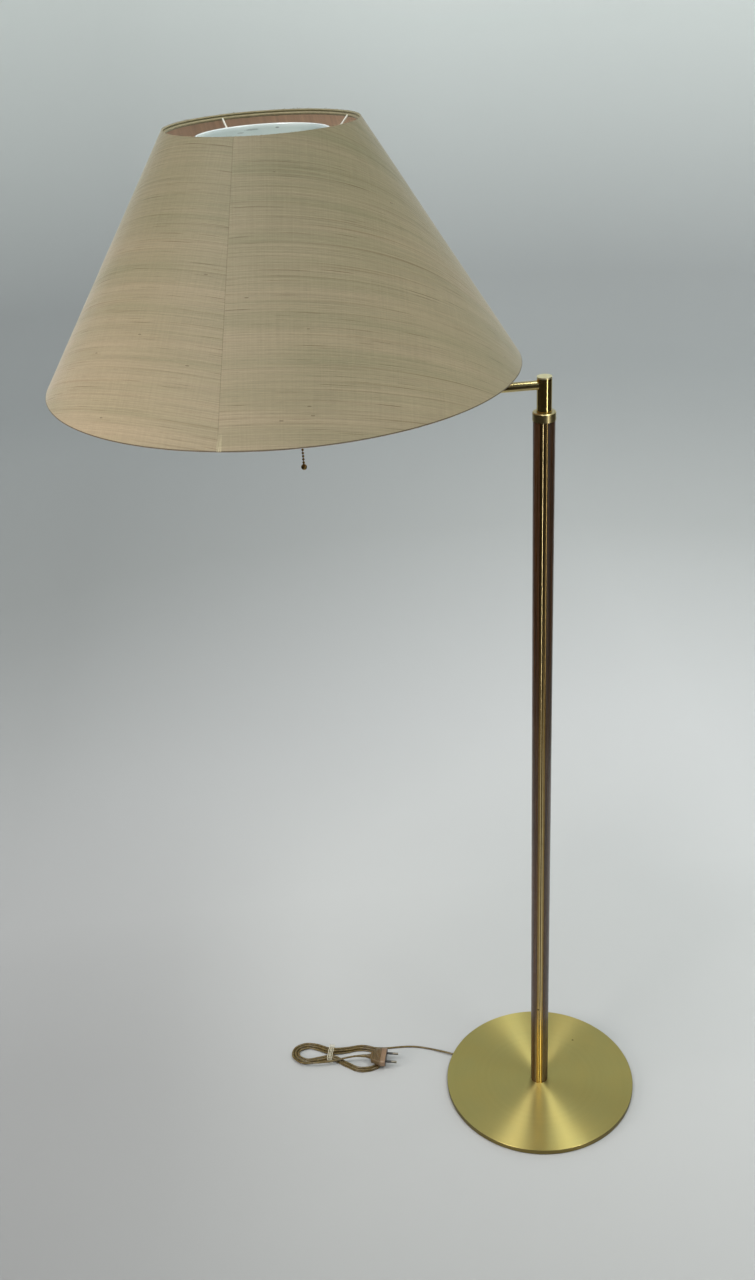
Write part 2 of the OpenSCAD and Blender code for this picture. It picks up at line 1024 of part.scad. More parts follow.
function tail_z(t) =
    let (over = tail_top + tie_lift * near_waist(0))
    tail_from[2] + (over - tail_from[2]) * smooth(t * 3)
        + (plug_z - over) * smooth((t - tail_climb_at) / tail_climb_at);

tail_points = [for (i = [1 : tail_rings])
    let (
        t = i / (tail_rings + 1),
        p = bezier(
            tail_from, tail_from + tail_pull * tail_way,
            tail_to - [tail_pull, 0, 0], tail_to - [cord_d, 0, 0], t
        )
    )
    [p[0], p[1], tail_z(t)]
];

hank_path = concat(
    [loop_points[0] + [cord_d * 1.2, 0, 0]],
    loop_points,
    tail_points,
    [tail_to - [cord_d, 0, 0], tail_to]
);

// Least gap of the cord to itself, between points that aren't neighbours along it
hank_gap = min([for (i = [0 : len(hank_path) - 1], j = [i + skip_points : 1 : len(hank_path) - 1])
    norm(hank_path[i] - hank_path[j])]) - cord_d;
hank_steps = [for (i = [1 : len(hank_path) - 1]) norm(hank_path[i] - hank_path[i - 1])];
hank_length = hank_steps * [for (step = hank_steps) 1];
echo(hank_gap = hank_gap, hank_length = hank_length, hank_rings = len(hank_path));

// The run from the foot ends straight, on the face of the hank's first end
module cord_lead() {
    hank_start = hank_path[0];
    straight = from_hank(hank_start + [cord_d * 1.5, 0, 0]);
    color("#8a7440")
        sweep(
            concat(fine_route(concat(lead_points, [straight]), lead_steps), [from_hank(hank_start)]),
            wire_r, lead_sides
        );
}

module cord_hank() {
    color("#8a7440")
        sweep([for (p = hank_path) from_hank(p)], wire_r, hank_sides);
}

// String wound round the waist, flat where it lies on the floor
function squarish(x) = sign(x) * pow(abs(x), 1 / 3);

function tie_point(turns) =
    let (a = -90 + 360 * turns)
    from_hank([
        waist_u + tie_pitch * (turns - tie_turns / 2),
        tie_half_w * squarish(cos(a)),
        tie_mid_z + tie_half_h * squarish(sin(a))
    ]);

module hank_tie() {
    color("#e6dfc8")
        sweep(
            [for (i = [0 : tie_turns * loop_rings]) tie_point(i / loop_rings)],
            tie_d / 2, hank_sides, [cos(hank_turn), sin(hank_turn), 0]
        );
}

// ---------- plug ----------

module at_plug() {
    translate([plug_rear[0], plug_rear[1], plug_z])
        rotate([0, 0, plug_turn])
            children();
}

module at_pins(x) {
    for (side = [-1, 1])
        translate([x, side * pin_gap / 2, 0])
            rotate([0, 90, 0])
                children();
}

module plug_body() {
    c = plug_chamfer;
    front = plug_nub_l + plug_body_l;
    color("#8a6f3c")
        at_plug()
            difference() {
                union() {
                    rotate([0, 90, 0])
                        cylinder(h = plug_nub_l + 2, r1 = plug_nub_r0, r2 = plug_nub_r1);
                    translate([0, 0, -plug_t / 2])
                        linear_extrude(height = plug_t)
                            polygon([
                                [plug_nub_l, -plug_rear_w / 2 + c],
                                [plug_nub_l + c, -plug_rear_w / 2],
                                [front - 8, -plug_front_w / 2],
                                [front - c, -plug_front_w / 2],
                                [front, -plug_front_w / 2 + c],
                                [front, plug_front_w / 2 - c],
                                [front - c, plug_front_w / 2],
                                [front - 8, plug_front_w / 2],
                                [plug_nub_l + c, plug_rear_w / 2],
                                [plug_nub_l, plug_rear_w / 2 - c]
                            ]);
                }
                at_pins(front - pin_root)
                    cylinder(h = pin_root + 1, r = pin_core_r);
            }
}

module pin_sleeves() {
    color("#1d1b19")
        at_plug()
            at_pins(plug_nub_l + plug_body_l)
                tube(pin_r, pin_core_r, 0, sleeve_l);
}

module plug_pins() {
    color("#c9b27a")
        at_plug()
            at_pins(plug_nub_l + plug_body_l - pin_root) {
                cylinder(h = pin_root + sleeve_l + 1, r = pin_core_r);
                translate([0, 0, pin_root + sleeve_l])
                    cylinder(h = pin_l - sleeve_l, r = pin_r);
            }
}

base_pad();
base_weight();
base_cover();
base_screws();
column_spigot();
tie_tube();
column_wood();
column_strip();
strip_screw();
top_washer();
top_nut();
swivel_sleeve();
collar();
column_wire();
cord_bush();
swivel_post();
post_cap();
arm_tube();
end_block();
riser_tube();
lock_nut();
holder_cup();
switch_body();
chain_guide();
holder_shell();
socket_core();
screw_shell();
centre_contact();
lower_ring();
upper_ring();
bulb_cap();
bulb_glass();
fitter_ring();
spider_wires();
top_ring();
bottom_ring();
shade_skin();
shade_lining();
bowl();
arm_wire();
chain_top();
chain_hang();
chain_ball();
cord_lead();
cord_hank();
hank_tie();
plug_body();
pin_sleeves();
plug_pins();
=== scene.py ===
import math
import random

import bpy
import numpy as np
from mathutils import Matrix, Vector, noise


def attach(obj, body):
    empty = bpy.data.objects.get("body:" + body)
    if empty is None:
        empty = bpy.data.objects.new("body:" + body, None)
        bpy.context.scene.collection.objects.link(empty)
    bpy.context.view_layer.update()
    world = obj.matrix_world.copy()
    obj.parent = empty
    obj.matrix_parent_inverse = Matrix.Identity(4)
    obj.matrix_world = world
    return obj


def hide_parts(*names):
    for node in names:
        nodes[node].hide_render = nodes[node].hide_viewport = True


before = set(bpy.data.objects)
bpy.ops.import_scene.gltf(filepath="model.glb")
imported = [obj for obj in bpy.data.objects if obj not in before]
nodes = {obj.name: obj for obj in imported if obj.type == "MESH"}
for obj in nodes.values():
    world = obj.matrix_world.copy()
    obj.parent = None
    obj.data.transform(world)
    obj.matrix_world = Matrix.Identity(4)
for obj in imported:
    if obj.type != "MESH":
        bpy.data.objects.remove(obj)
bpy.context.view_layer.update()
rng = random.Random(7)
MM = 0.001

# ---------- camera ----------

# The view's right, up and back, and its place, in the lamp's own frame
RIGHT = (0.99385576, -0.09394454, -0.05852481)
UP = (0.09822623, 0.50491587, 0.85756141)
BACK = (-0.05101311, -0.85804102, 0.51104136)
EYE = (-0.324718, -1.547853, 1.689381)
FOCAL_PX = 1304.512
CENTRE_PX = (376.0, 705.4)
WIDE, HIGH = 755, 1280
SENSOR = 36

cam = bpy.data.objects.new("camera", bpy.data.cameras.new("camera"))
bpy.context.scene.collection.objects.link(cam)
place = Matrix((RIGHT, UP, BACK)).transposed().to_4x4()
place.translation = EYE
cam.matrix_world = place
cam.data.sensor_width = SENSOR
cam.data.lens = FOCAL_PX * SENSOR / HIGH
cam.data.shift_x = (WIDE / 2 - CENTRE_PX[0]) / HIGH
cam.data.shift_y = (CENTRE_PX[1] - HIGH / 2) / HIGH
cam.data.clip_start, cam.data.clip_end = 0.05, 60
bpy.context.scene.camera = cam


# ---------- mesh helpers ----------

CREASE = math.radians(50)


def make(name, verts, faces, material, body, replaces=(), slot=None):
    """A new mesh piece, in metres. It rides on a CAD body, unless it is a piece of the stage."""
    mesh = bpy.data.meshes.new(name)
    mesh.from_pydata([tuple(v) for v in verts], [], [tuple(f) for f in faces])
    mesh.update()
    mesh.polygons.foreach_set("use_smooth", [True] * len(mesh.polygons))
    mesh.set_sharp_from_angle(angle=CREASE)
    mesh.materials.append(material)
    obj = bpy.data.objects.new(name, mesh)
    bpy.context.scene.collection.objects.link(obj)
    if body:
        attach(obj, body)
    if replaces:
        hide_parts(*replaces)
    return obj


def smooth(x):
    c = min(1.0, max(0.0, x))
    return c * c * (3 - 2 * c)


def unit(v):
    v = np.asarray(v, float)
    return v / np.linalg.norm(v)


def lengths_along(points):
    """How far along a line each of its points is."""
    return np.r_[0, np.cumsum(np.linalg.norm(np.diff(points, axis=0), axis=1))]


def points_at(points, along, at):
    """Points at given distances along a line whose own points are at along."""
    return np.stack([np.interp(at, along, np.asarray(points)[:, k]) for k in range(3)], 1)


def spline(points, steps):
    """A smooth curve through points, with steps pieces between neighbours."""
    p = np.asarray(points, float)
    out = []
    for i in range(len(p) - 1):
        a, b, c, d = p[max(i - 1, 0)], p[i], p[i + 1], p[min(i + 2, len(p) - 1)]
        for k in range(steps):
            t = k / steps
            out.append(0.5 * (2 * b + (c - a) * t + (2 * a - 5 * b + 4 * c - d) * t * t
                              + (3 * b - a - 3 * c + d) * t ** 3))
    out.append(p[-1])
    return np.array(out)


def grid_faces(rows, cols, wrap_rows=True, wrap_cols=True, flip=False):
    """Quads between neighbouring rows of points."""
    faces = []
    for i in range(rows if wrap_rows else rows - 1):
        for j in range(cols if wrap_cols else cols - 1):
            a, b = i * cols + j, i * cols + (j + 1) % cols
            c, d = (i + 1) % rows * cols + j, (i + 1) % rows * cols + (j + 1) % cols
            faces.append((a, b, d, c) if flip else (a, c, d, b))
    return faces


def swept(path, profile, side_from=(0, 0, 1), scale=None):
    """Vertices and faces of a closed profile swept along a path, with flat ends."""
    path, n, m = np.asarray(path, float), len(path), len(profile)
    verts = []
    for i in range(n):
        way = unit(path[min(i + 1, n - 1)] - path[max(i - 1, 0)])
        side = unit(np.cross(side_from, way))
        up = np.cross(way, side)
        k = 1.0 if scale is None else scale[i]
        verts += [path[i] + k * (x * side + y * up) for x, y in profile]
    ends = [tuple(range(m)), tuple(reversed(range((n - 1) * m, n * m)))]
    return verts, grid_faces(n, m, wrap_rows=False) + ends


def ring(r, n):
    return [(r * math.cos(2 * math.pi * k / n), r * math.sin(2 * math.pi * k / n))
            for k in range(n)]


def turned(profile, n, axis, closed=True):
    """A profile of (radius, height) turned about a vertical axis."""
    verts = []
    for i in range(n):
        a = 2 * math.pi * i / n
        verts += [(axis[0] + r * math.cos(a), axis[1] + r * math.sin(a), z) for r, z in profile]
    return verts, grid_faces(n, len(profile), wrap_cols=closed)


def joined(parts):
    """Several (vertices, faces) as one."""
    verts, faces = [], []
    for v, f in parts:
        k = len(verts)
        verts += list(v)
        faces += [tuple(i + k for i in face) for face in f]
    return verts, faces


# ---------- material helpers ----------

class Mat:
    """A node material: a Principled shader and short ways to add to it."""

    def __init__(self, name, **values):
        """Values are set on the shader's own sockets, with _ for each space in a name."""
        self.m = bpy.data.materials.new(name)
        self.m.use_nodes = True
        self.tree = self.m.node_tree
        self.shader = self.tree.nodes["Principled BSDF"]
        for key, value in values.items():
            self.shader.inputs[key.replace("_", " ")].default_value = value

    def add(self, kind, **values):
        """A node, with values for its settings or its sockets."""
        node = self.tree.nodes.new("ShaderNode" + kind)
        for key, value in values.items():
            if hasattr(node, key):
                setattr(node, key, value)
            else:
                self.put(node.inputs[key.replace("_", " ")], value)
        return node

    def put(self, socket, value):
        if isinstance(value, bpy.types.NodeSocket):
            self.tree.links.new(value, socket)
        else:
            socket.default_value = value

    def math(self, op, a, b=0.0, c=0.0, clamp=False):
        node = self.add("Math", operation=op, use_clamp=clamp)
        for socket, value in zip(node.inputs, (a, b, c)):
            self.put(socket, value)
        return node.outputs[0]

    def slope(self, value, start, end):
        """0 at start to 1 at end, and level beyond them."""
        rate = 1 / (end - start)
        return self.math("MULTIPLY_ADD", value, rate, -start * rate, clamp=True)

    def vector(self, op, vector, *others):
        """A vector node with fixed second and third vectors."""
        node = self.add("VectorMath", operation=op, Vector=vector)
        for socket, value in zip(list(node.inputs)[1:], others):
            socket.default_value = value
        return node.outputs

    def place(self):
        return self.add("TexCoord").outputs["Object"]

    def xyz(self, place=None):
        return self.add("SeparateXYZ", Vector=place or self.place()).outputs

    def from_axis(self, xyz):
        """The distance from the column's axis."""
        flat = self.add("CombineXYZ", X=xyz[0], Y=xyz[1], Z=0.0).outputs[0]
        return self.vector("LENGTH", flat)["Value"]

    def where(self, scale=(1, 1, 1), turn=0.0, name=None):
        """Coordinates in metres times scale, from the object or from a named map."""
        out = self.add("UVMap", uv_map=name).outputs[0] if name else self.place()
        return self.add("Mapping", Vector=out, Scale=scale, Rotation=(0, 0, turn)).outputs[0]

    def noise(self, vector, scale=1.0, detail=2.0, rough=0.5):
        node = self.add("TexNoise", Vector=vector, Scale=scale, Detail=detail, Roughness=rough)
        return node.outputs["Fac"]

    def on_cloth(self, weft, warp, detail=2.0, rough=0.5, turn=0.0):
        """Noise on the cloth laid flat, with its scales per metre along weft and warp."""
        return self.noise(self.where((weft, warp, 1), turn, "flat"), 1, detail, rough)

    def threads(self, scale, direction, distortion, detail=2.0):
        """Even waves on the cloth laid flat."""
        node = self.add("TexWave", Vector=self.where(name="flat"), Scale=scale,
                        bands_direction=direction, Distortion=distortion, Detail=detail)
        return node.outputs["Fac"]

    def ramp(self, fac, *stops):
        """Stops are (place, value or colour)."""
        node = self.add("ValToRGB", Fac=fac)
        elements = node.color_ramp.elements
        while len(elements) < len(stops):
            elements.new(0.5)
        for element, (at, value) in zip(elements, stops):
            element.position = at
            element.color = (value,) * 3 + (1,) if isinstance(value, (int, float)) else value
        return node.outputs["Color"]

    def between(self, fac, low, high):
        """From low to high over the middle of a noise."""
        return self.ramp(fac, (0.3, low), (0.7, high))

    def mix(self, fac, a, b, how="MIX"):
        node = self.add("Mix", data_type="RGBA", blend_type=how)
        for index, value in ((0, fac), (6, a), (7, b)):
            self.put(node.inputs[index], value)
        return node.outputs[2]

    def tint(self, colour, by, fac=1.0):
        """A colour times another, by as much as fac says."""
        return self.mix(fac, colour, by, "MULTIPLY")

    def bump(self, height, strength, distance, normal=None):
        node = self.add("Bump", Height=height, Strength=strength, Distance=distance)
        if normal is not None:
            self.put(node.inputs["Normal"], normal)
        return node.outputs[0]

    def done(self, colour, roughness=None, normal=None):
        """Links what is given to the shader, and returns the material."""
        given = {"Base Color": colour, "Roughness": roughness, "Normal": normal}
        for name, value in given.items():
            if value is not None:
                self.put(self.shader.inputs[name], value)
        return self.m


def rgb(r, g, b):
    """A display colour from 0 to 255, as the shader's own."""
    out = []
    for v in (r, g, b):
        v /= 255
        out.append(v / 12.92 if v <= 0.04045 else ((v + 0.055) / 1.055) ** 2.4)
    return (*out, 1.0)


def wear(mat, colour, amount, scale):
    """Slow uneven tone over a colour."""
    cloud = mat.between(mat.noise(mat.where(), scale, 4), 1 - amount, 1 + amount * 0.3)
    return mat.tint(colour, cloud)


# ---------- cord: the route repeats the source's, in millimetres ----------

CORD_D = 3.2
LEAD = [
    (-135.97, 78.5, 3.8), (-142.9, 82.5, 3.8), (-150, 86.6, 3.7), (-158, 91.2, 3.1),
    (-166, 95.6, 2.2), (-174, 99.6, 1.7), (-183, 103.4, 1.6), (-192, 106.5, 1.6),
    (-202, 109, 1.6), (-212, 110.6, 1.6), (-222, 111.4, 1.6), (-232, 111.8, 1.6),
    (-242, 112, 1.6), (-252, 112.6, 1.6)]
HANK_AT, HANK_TURN, HANK_HALF = (-333.0, 106.0), math.radians(-13.5), 82.0
WAIST_U, WAIST_HALF, WAIST_REACH, WAIST_STEP = -14.0, 13.4, 30.0, 4.8
LEFT_LOBE, LEFT_U, RIGHT_LOBE, RIGHT_U, RIGHT_DROP = 16.0, 44.0, 22.0, 64.0, 4.0
BLUNT, LOOP_STEP, LAYER_STEP = 0.07, 5.0, 3.8
START_A, END_A, FULL_LOOPS, LOOP_RINGS = 54, 225, 4, 24
TIE_LIFT, TAIL_RINGS, TAIL_PULL, TAIL_TOP, TAIL_CLIMB = 2.1, 12, 36.0, 9.4, 0.45
TIE_TURNS, TIE_PITCH, TIE_HALF_W, TIE_LOW, TIE_HIGH = 4, 1.9, 17.0, 0.65, 12.7
PLUG_REAR, PLUG_Z = (-285.5, 86.5), 14.2
COS_H, SIN_H = math.cos(HANK_TURN), math.sin(HANK_TURN)
ROUTE_STEPS = 3    # steps between the route's points
# How far the flat cord settles on the floor, and how much more on the turns below it; the
# height over which this ends, towards the plug, and the length over which it begins
SETTLE, SETTLE_MORE = 0.35, 0.75
RISE_FROM, RISE_OVER = 9.5, 4
SETTLE_FROM, SETTLE_OVER = 4, 25
CORE_R, CORE_OFFSET = 1.2 * MM, 0.6 * MM


def turned_like_hank(p, at):
    x, y, z = p
    return np.array([at[0] + x * COS_H - y * SIN_H, at[1] + x * SIN_H + y * COS_H, z])


def from_hank(p):
    return turned_like_hank(p, HANK_AT)


def near_waist(u):
    return 1 - smooth(abs(u - WAIST_U) / WAIST_REACH)


def hank_route():
    """The hank and its tail to the plug, in the hank's own frame."""
    turns = FULL_LOOPS + (END_A - START_A) / 360

    def point(t):
        a, q = math.radians(START_A + 360 * t), min(t, turns - t)
        u = (HANK_HALF - LOOP_STEP * q) * (math.cos(a) - BLUNT * math.cos(3 * a)) / (1 - BLUNT)
        lobe = (LEFT_LOBE * smooth((WAIST_U - u) / LEFT_U) if u < WAIST_U
                else RIGHT_LOBE * smooth((u - WAIST_U) / RIGHT_U))
        step = LOOP_STEP + (WAIST_STEP - LOOP_STEP) * near_waist(u)
        v = (math.sin(a) * (WAIST_HALF + lobe - step * q)
             - RIGHT_DROP * smooth((u - WAIST_U) / RIGHT_U))
        layer = smooth((t - turns / 2) * 2 + 0.5)
        return np.array([u, v, CORD_D / 2 + LAYER_STEP * layer + TIE_LIFT * near_waist(u)])

    loops = [point(min(turns, i / LOOP_RINGS)) for i in range(int(turns * LOOP_RINGS) + 1)]
    dx, dy = PLUG_REAR[0] - HANK_AT[0], PLUG_REAR[1] - HANK_AT[1]
    to = np.array([dx * COS_H + dy * SIN_H, dy * COS_H - dx * SIN_H, PLUG_Z])
    start, way = loops[-1], unit(loops[-1] - loops[-2])
    over = TAIL_TOP + TIE_LIFT * near_waist(0)
    tail = []
    for i in range(1, TAIL_RINGS + 1):
        t = i / (TAIL_RINGS + 1)
        p = ((1 - t) ** 3 * start + 3 * (1 - t) ** 2 * t * (start + TAIL_PULL * way)
             + 3 * (1 - t) * t * t * (to - [TAIL_PULL, 0, 0]) + t ** 3 * (to - [CORD_D, 0, 0]))
        z = (start[2] + (over - start[2]) * smooth(t * 3)
             + (PLUG_Z - over) * smooth((t - TAIL_CLIMB) / TAIL_CLIMB))
        tail.append(np.array([p[0], p[1], z]))
    return ([loops[0] + [CORD_D * 1.2, 0, 0]] + loops + tail + [to - [CORD_D, 0, 0], to])


def cord_route():
    hank = hank_route()
    straight = from_hank(hank[0] + np.array([CORD_D * 1.5, 0, 0]))
    lead = spline(LEAD + [straight], ROUTE_STEPS)
    path = spline(np.vstack([lead, [from_hank(p) for p in hank]]), ROUTE_STEPS)
    # A flat twin cord is lower than it is wide, so it settles a little
    out = []
    for p, gone in zip(path, lengths_along(path)):
        floor = 1 - smooth((p[2] - RISE_FROM) / RISE_OVER)
        drop = ((SETTLE + SETTLE_MORE * smooth((p[2] - CORD_D / 2) / LAYER_STEP))
                * floor * smooth((gone - SETTLE_FROM) / SETTLE_OVER))
        out.append(np.array([p[0], p[1], p[2] - drop]))
    return np.array(out)


cord_path = cord_route()


def twin_profile(r, offset, n=9):
    """Two round cores side by side."""
    meet = math.acos(offset / r)
    half = [(offset + r * math.cos(a), r * math.sin(a))
            for a in np.linspace(-math.pi + meet, math.pi - meet, n)][:-1]
    return half + [(-x, -y) for x, y in half]


def cord_material():
    m = Mat("cord_sheath", Roughness=0.34, IOR=1.48, Subsurface_Weight=0.25,
            Subsurface_Radius=(0.8, 0.45, 0.15), Subsurface_Scale=0.002)
    where = m.where()
    return m.done(m.between(m.noise(where, 180, 3), rgb(86, 70, 38), rgb(120, 101, 60)),
                  m.between(m.noise(where, 900, 3), 0.2, 0.34),
                  m.bump(m.noise(where, 1500, 2), 0.25, 0.0001))


cord_mat = cord_material()
cord = make("cord", *swept(cord_path * MM, twin_profile(CORE_R, CORE_OFFSET)), cord_mat, "stand",
            ("cord_lead", "cord_hank"), "cord")


# ---------- string tie ----------

STRAND_R, STRAND_OFFSET, STRAND_TWIST = 0.34, 0.24, 3.2
TIE_STEPS, TIE_RINGS = 480, 620
TIE_SPREAD, TIE_U, TIE_V = 1.25, 0.6, -0.25    # wider than the pitch, and a little off centre


def cube_root(x):
    return math.copysign(abs(x) ** (1 / 3), x)


def tie_piece():
    """Two twisted strands, wound round the hank's waist."""
    mid, half = (TIE_LOW + TIE_HIGH) / 2, (TIE_HIGH - TIE_LOW) / 2
    line = []
    for i in range(TIE_STEPS + 1):
        t = i / TIE_STEPS * TIE_TURNS
        a = math.radians(-90 + 360 * t)
        uneven = 0.2 * math.sin(t * 9.1)
        line.append(from_hank(np.array([
            WAIST_U + TIE_U + TIE_SPREAD * TIE_PITCH * (t - TIE_TURNS / 2) + uneven,
            TIE_HALF_W * cube_root(math.cos(a)) + TIE_V,
            mid + half * cube_root(math.sin(a))])))
    along = lengths_along(line)
    even = np.linspace(0, along[-1], TIE_RINGS)
    line = points_at(line, along, even)
    axis = (COS_H, SIN_H, 0)
    parts = []
    for strand in range(2):
        moved = []
        for i, p in enumerate(line):
            way = unit(line[min(i + 1, len(line) - 1)] - line[max(i - 1, 0)])
            side = unit(np.cross(axis, way))
            up = np.cross(way, side)
            a = even[i] * 2 * math.pi / STRAND_TWIST + math.pi * strand
            moved.append(p + STRAND_OFFSET * (math.cos(a) * side + math.sin(a) * up))
        parts.append(swept(np.array(moved) * MM, ring(STRAND_R * MM, 6), axis))
    return joined(parts)


def string_material():
    m = Mat("tie_string", Roughness=0.9, Sheen_Weight=0.3)
    where = m.where()
    return m.done(m.between(m.noise(where, 700, 4), rgb(216, 207, 182), rgb(240, 234, 214)),
                  normal=m.bump(m.noise(where, 4000, 2), 0.5, 0.0001))


tie = make("string_tie", *tie_piece(), string_material(), "stand", ("hank_tie",), "string")


# ---------- plug ----------

# Distances from the plug's rear, and half widths and heights, in millimetres
NECK_END, GRIP_FROM, GRIP_TO, FACE_FROM, PLUG_LENGTH = 7, 10.6, 25.5, 33.4, 35
REAR_HALF, NECK_W, NECK_H, BODY_W = 3.0, 4.5, 4.3, 12.6
RIB_PITCH, RIB_H, RIB_W, RIB_BOW, BOW_END = 3.7, 1.15, 0.5, 1.6, 26
FACE_BEND, FACE_INSET = 1.6, 1.2
PLUG_SIDES = 40


def plug_section(x):
    """Half width, half height and squareness of the plug at x."""
    if x <= NECK_END:
        return REAR_HALF + 1.5 * x / NECK_END, REAR_HALF + 1.3 * x / NECK_END, 2.0
    body = smooth((x - NECK_END) / 3.2)
    w = NECK_W + (BODY_W - NECK_W) * body + 4.9 * smooth((x - 10) / 16)
    h = NECK_H + 1.2 * body + 1.25 * smooth((x - 10) / 15)
    if GRIP_FROM < x < GRIP_TO:
        groove = 0.5 + 0.5 * math.cos(2 * math.pi * (x - GRIP_FROM) / RIB_PITCH)
        w, h = w - RIB_W * groove, h - RIB_H * groove
    if x > FACE_FROM:
        round_off = 1 - math.sqrt(max(0, 1 - ((x - FACE_FROM) / FACE_BEND) ** 2))
        w, h = w - FACE_INSET * round_off, h - FACE_INSET * round_off
    return w, h, 2.0 + 2.6 * body


def plug_piece():
    xs = [0, 0.6, 2, 4, 6, NECK_END, 7.6, 8.2, 9, 10] + list(np.arange(GRIP_FROM, BOW_END, 0.55))
    xs += [26.5, 28, 30, 32, FACE_FROM, 34.2, 34.7, PLUG_LENGTH]
    verts = []
    for x in xs:
        w, h, square = plug_section(x)
        for k in range(PLUG_SIDES):
            a = 2 * math.pi * k / PLUG_SIDES
            c, s = math.cos(a), math.sin(a)
            y = w * math.copysign(abs(c) ** (2 / square), c)
            z = h * math.copysign(abs(s) ** (2 / square), s)
            # the ribs bow towards the pins at the middle
            bow = RIB_BOW * (1 - (y / w) ** 2) if 10 <= x <= BOW_END else 0
            p = (x + bow * (BOW_END - x) / 16, y, PLUG_Z + z)
            verts.append(turned_like_hank(p, PLUG_REAR) * MM)
    count = len(verts)
    ends = [tuple(reversed(range(PLUG_SIDES))), tuple(range(count - PLUG_SIDES, count))]
    return verts, grid_faces(len(xs), PLUG_SIDES, wrap_rows=False, flip=True) + ends


def plug_material():
    m = Mat("plug_moulding", Roughness=0.34, IOR=1.48, Subsurface_Weight=0.3,
            Subsurface_Radius=(0.8, 0.4, 0.15), Subsurface_Scale=0.004)
    where = m.where()
    # the gripped rear is browner than the face towards the pins, and the face itself is dark
    along = m.vector("DOT_PRODUCT", m.place(), (COS_H, SIN_H, 0))["Value"]
    start = (PLUG_REAR[0] * COS_H + PLUG_REAR[1] * SIN_H) * MM
    tone = m.ramp(m.slope(along, start, start + 36 * MM),
                  (0.0, rgb(98, 80, 46)), (0.66, rgb(104, 82, 50)), (0.76, rgb(140, 112, 86)),
                  (0.955, rgb(146, 118, 94)), (0.965, rgb(58, 44, 36)))
    patch = m.between(m.noise(where, 160, 3), 0.86, 1.06)
    return m.done(m.tint(tone, patch), m.between(m.noise(where, 500, 3), 0.28, 0.42),
                  m.bump(m.noise(where, 1800, 3), 0.2, 0.0001))


plug = make("plug_moulding", *plug_piece(), plug_material(), "stand", ("plug_body",), "plug")

# A ribbed taper where the cord goes into the plug
TAPER_LENGTH, TAPER_RINGS, RIB_RINGS, TAPER_GROOVE = 16, 40, 3, 0.9
TAPER_R, TAPER_GROWS = 1.9, 1.2
end_part = cord_path[-14:]
end_along = lengths_along(end_part)
taper_line = points_at(end_part, end_along,
                       np.linspace(end_along[-1] - TAPER_LENGTH, end_along[-1], TAPER_RINGS))
taper_r = [(TAPER_R + TAPER_GROWS * i / (TAPER_RINGS - 1))
           * (1 if i // RIB_RINGS % 2 else TAPER_GROOVE) * MM for i in range(TAPER_RINGS)]
relief = make("cord_relief", *swept(taper_line * MM, ring(1, 20), scale=taper_r), cord_mat,
              "stand", slot="plug")


# ---------- shade: one piece of silk, straight in the grain when laid flat ----------

AXIS_X = -0.314
Z0, Z1, R0, R1 = 1.244, 1.516, 0.2815, 0.1085
SLOPE = (R0 - R1) / (Z1 - Z0)
SIN_A = SLOPE / math.hypot(1, SLOPE)
COS_A = 1 / math.hypot(1, SLOPE)
SEAM = math.radians(-106)
GRAIN = math.radians(3.6)
SKIN_T, LINING_T, PROUD = 1.2 * MM, 0.6 * MM, 0.1 * MM
UNEVEN, LAP_T, LAP_END, LAP_FADE, EDGE_UNEVEN = 0.35 * MM, 0.2 * MM, 0.005, 0.004, 0.25 * MM


def shade_r(z):
    return R0 + (R1 - R0) * (z - Z0) / (Z1 - Z0)


def cone_point(turn, along, inward):
    """A point at a turn past the seam, 0 to 1 up the slant, and inward from the outside."""
    r = R0 + (R1 - R0) * along - inward * COS_A
    z = Z0 + (Z1 - Z0) * along - inward * SIN_A
    a = SEAM + turn
    return Vector((AXIS_X + r * math.cos(a), r * math.sin(a), z))


def flat_uv(turn, along):
    rho = (R0 + (R1 - R0) * along) / SIN_A
    theta = turn * SIN_A - GRAIN
    return rho * math.sin(theta), rho * math.cos(theta)


def wobble(turn, along, amount):
    a = SEAM + turn
    p = Vector((math.cos(a) * 4, math.sin(a) * 4, along * 3))
    return amount * (noise.noise(p) + 0.5 * noise.noise(p * 3.1 + Vector((5, 2, 1))))


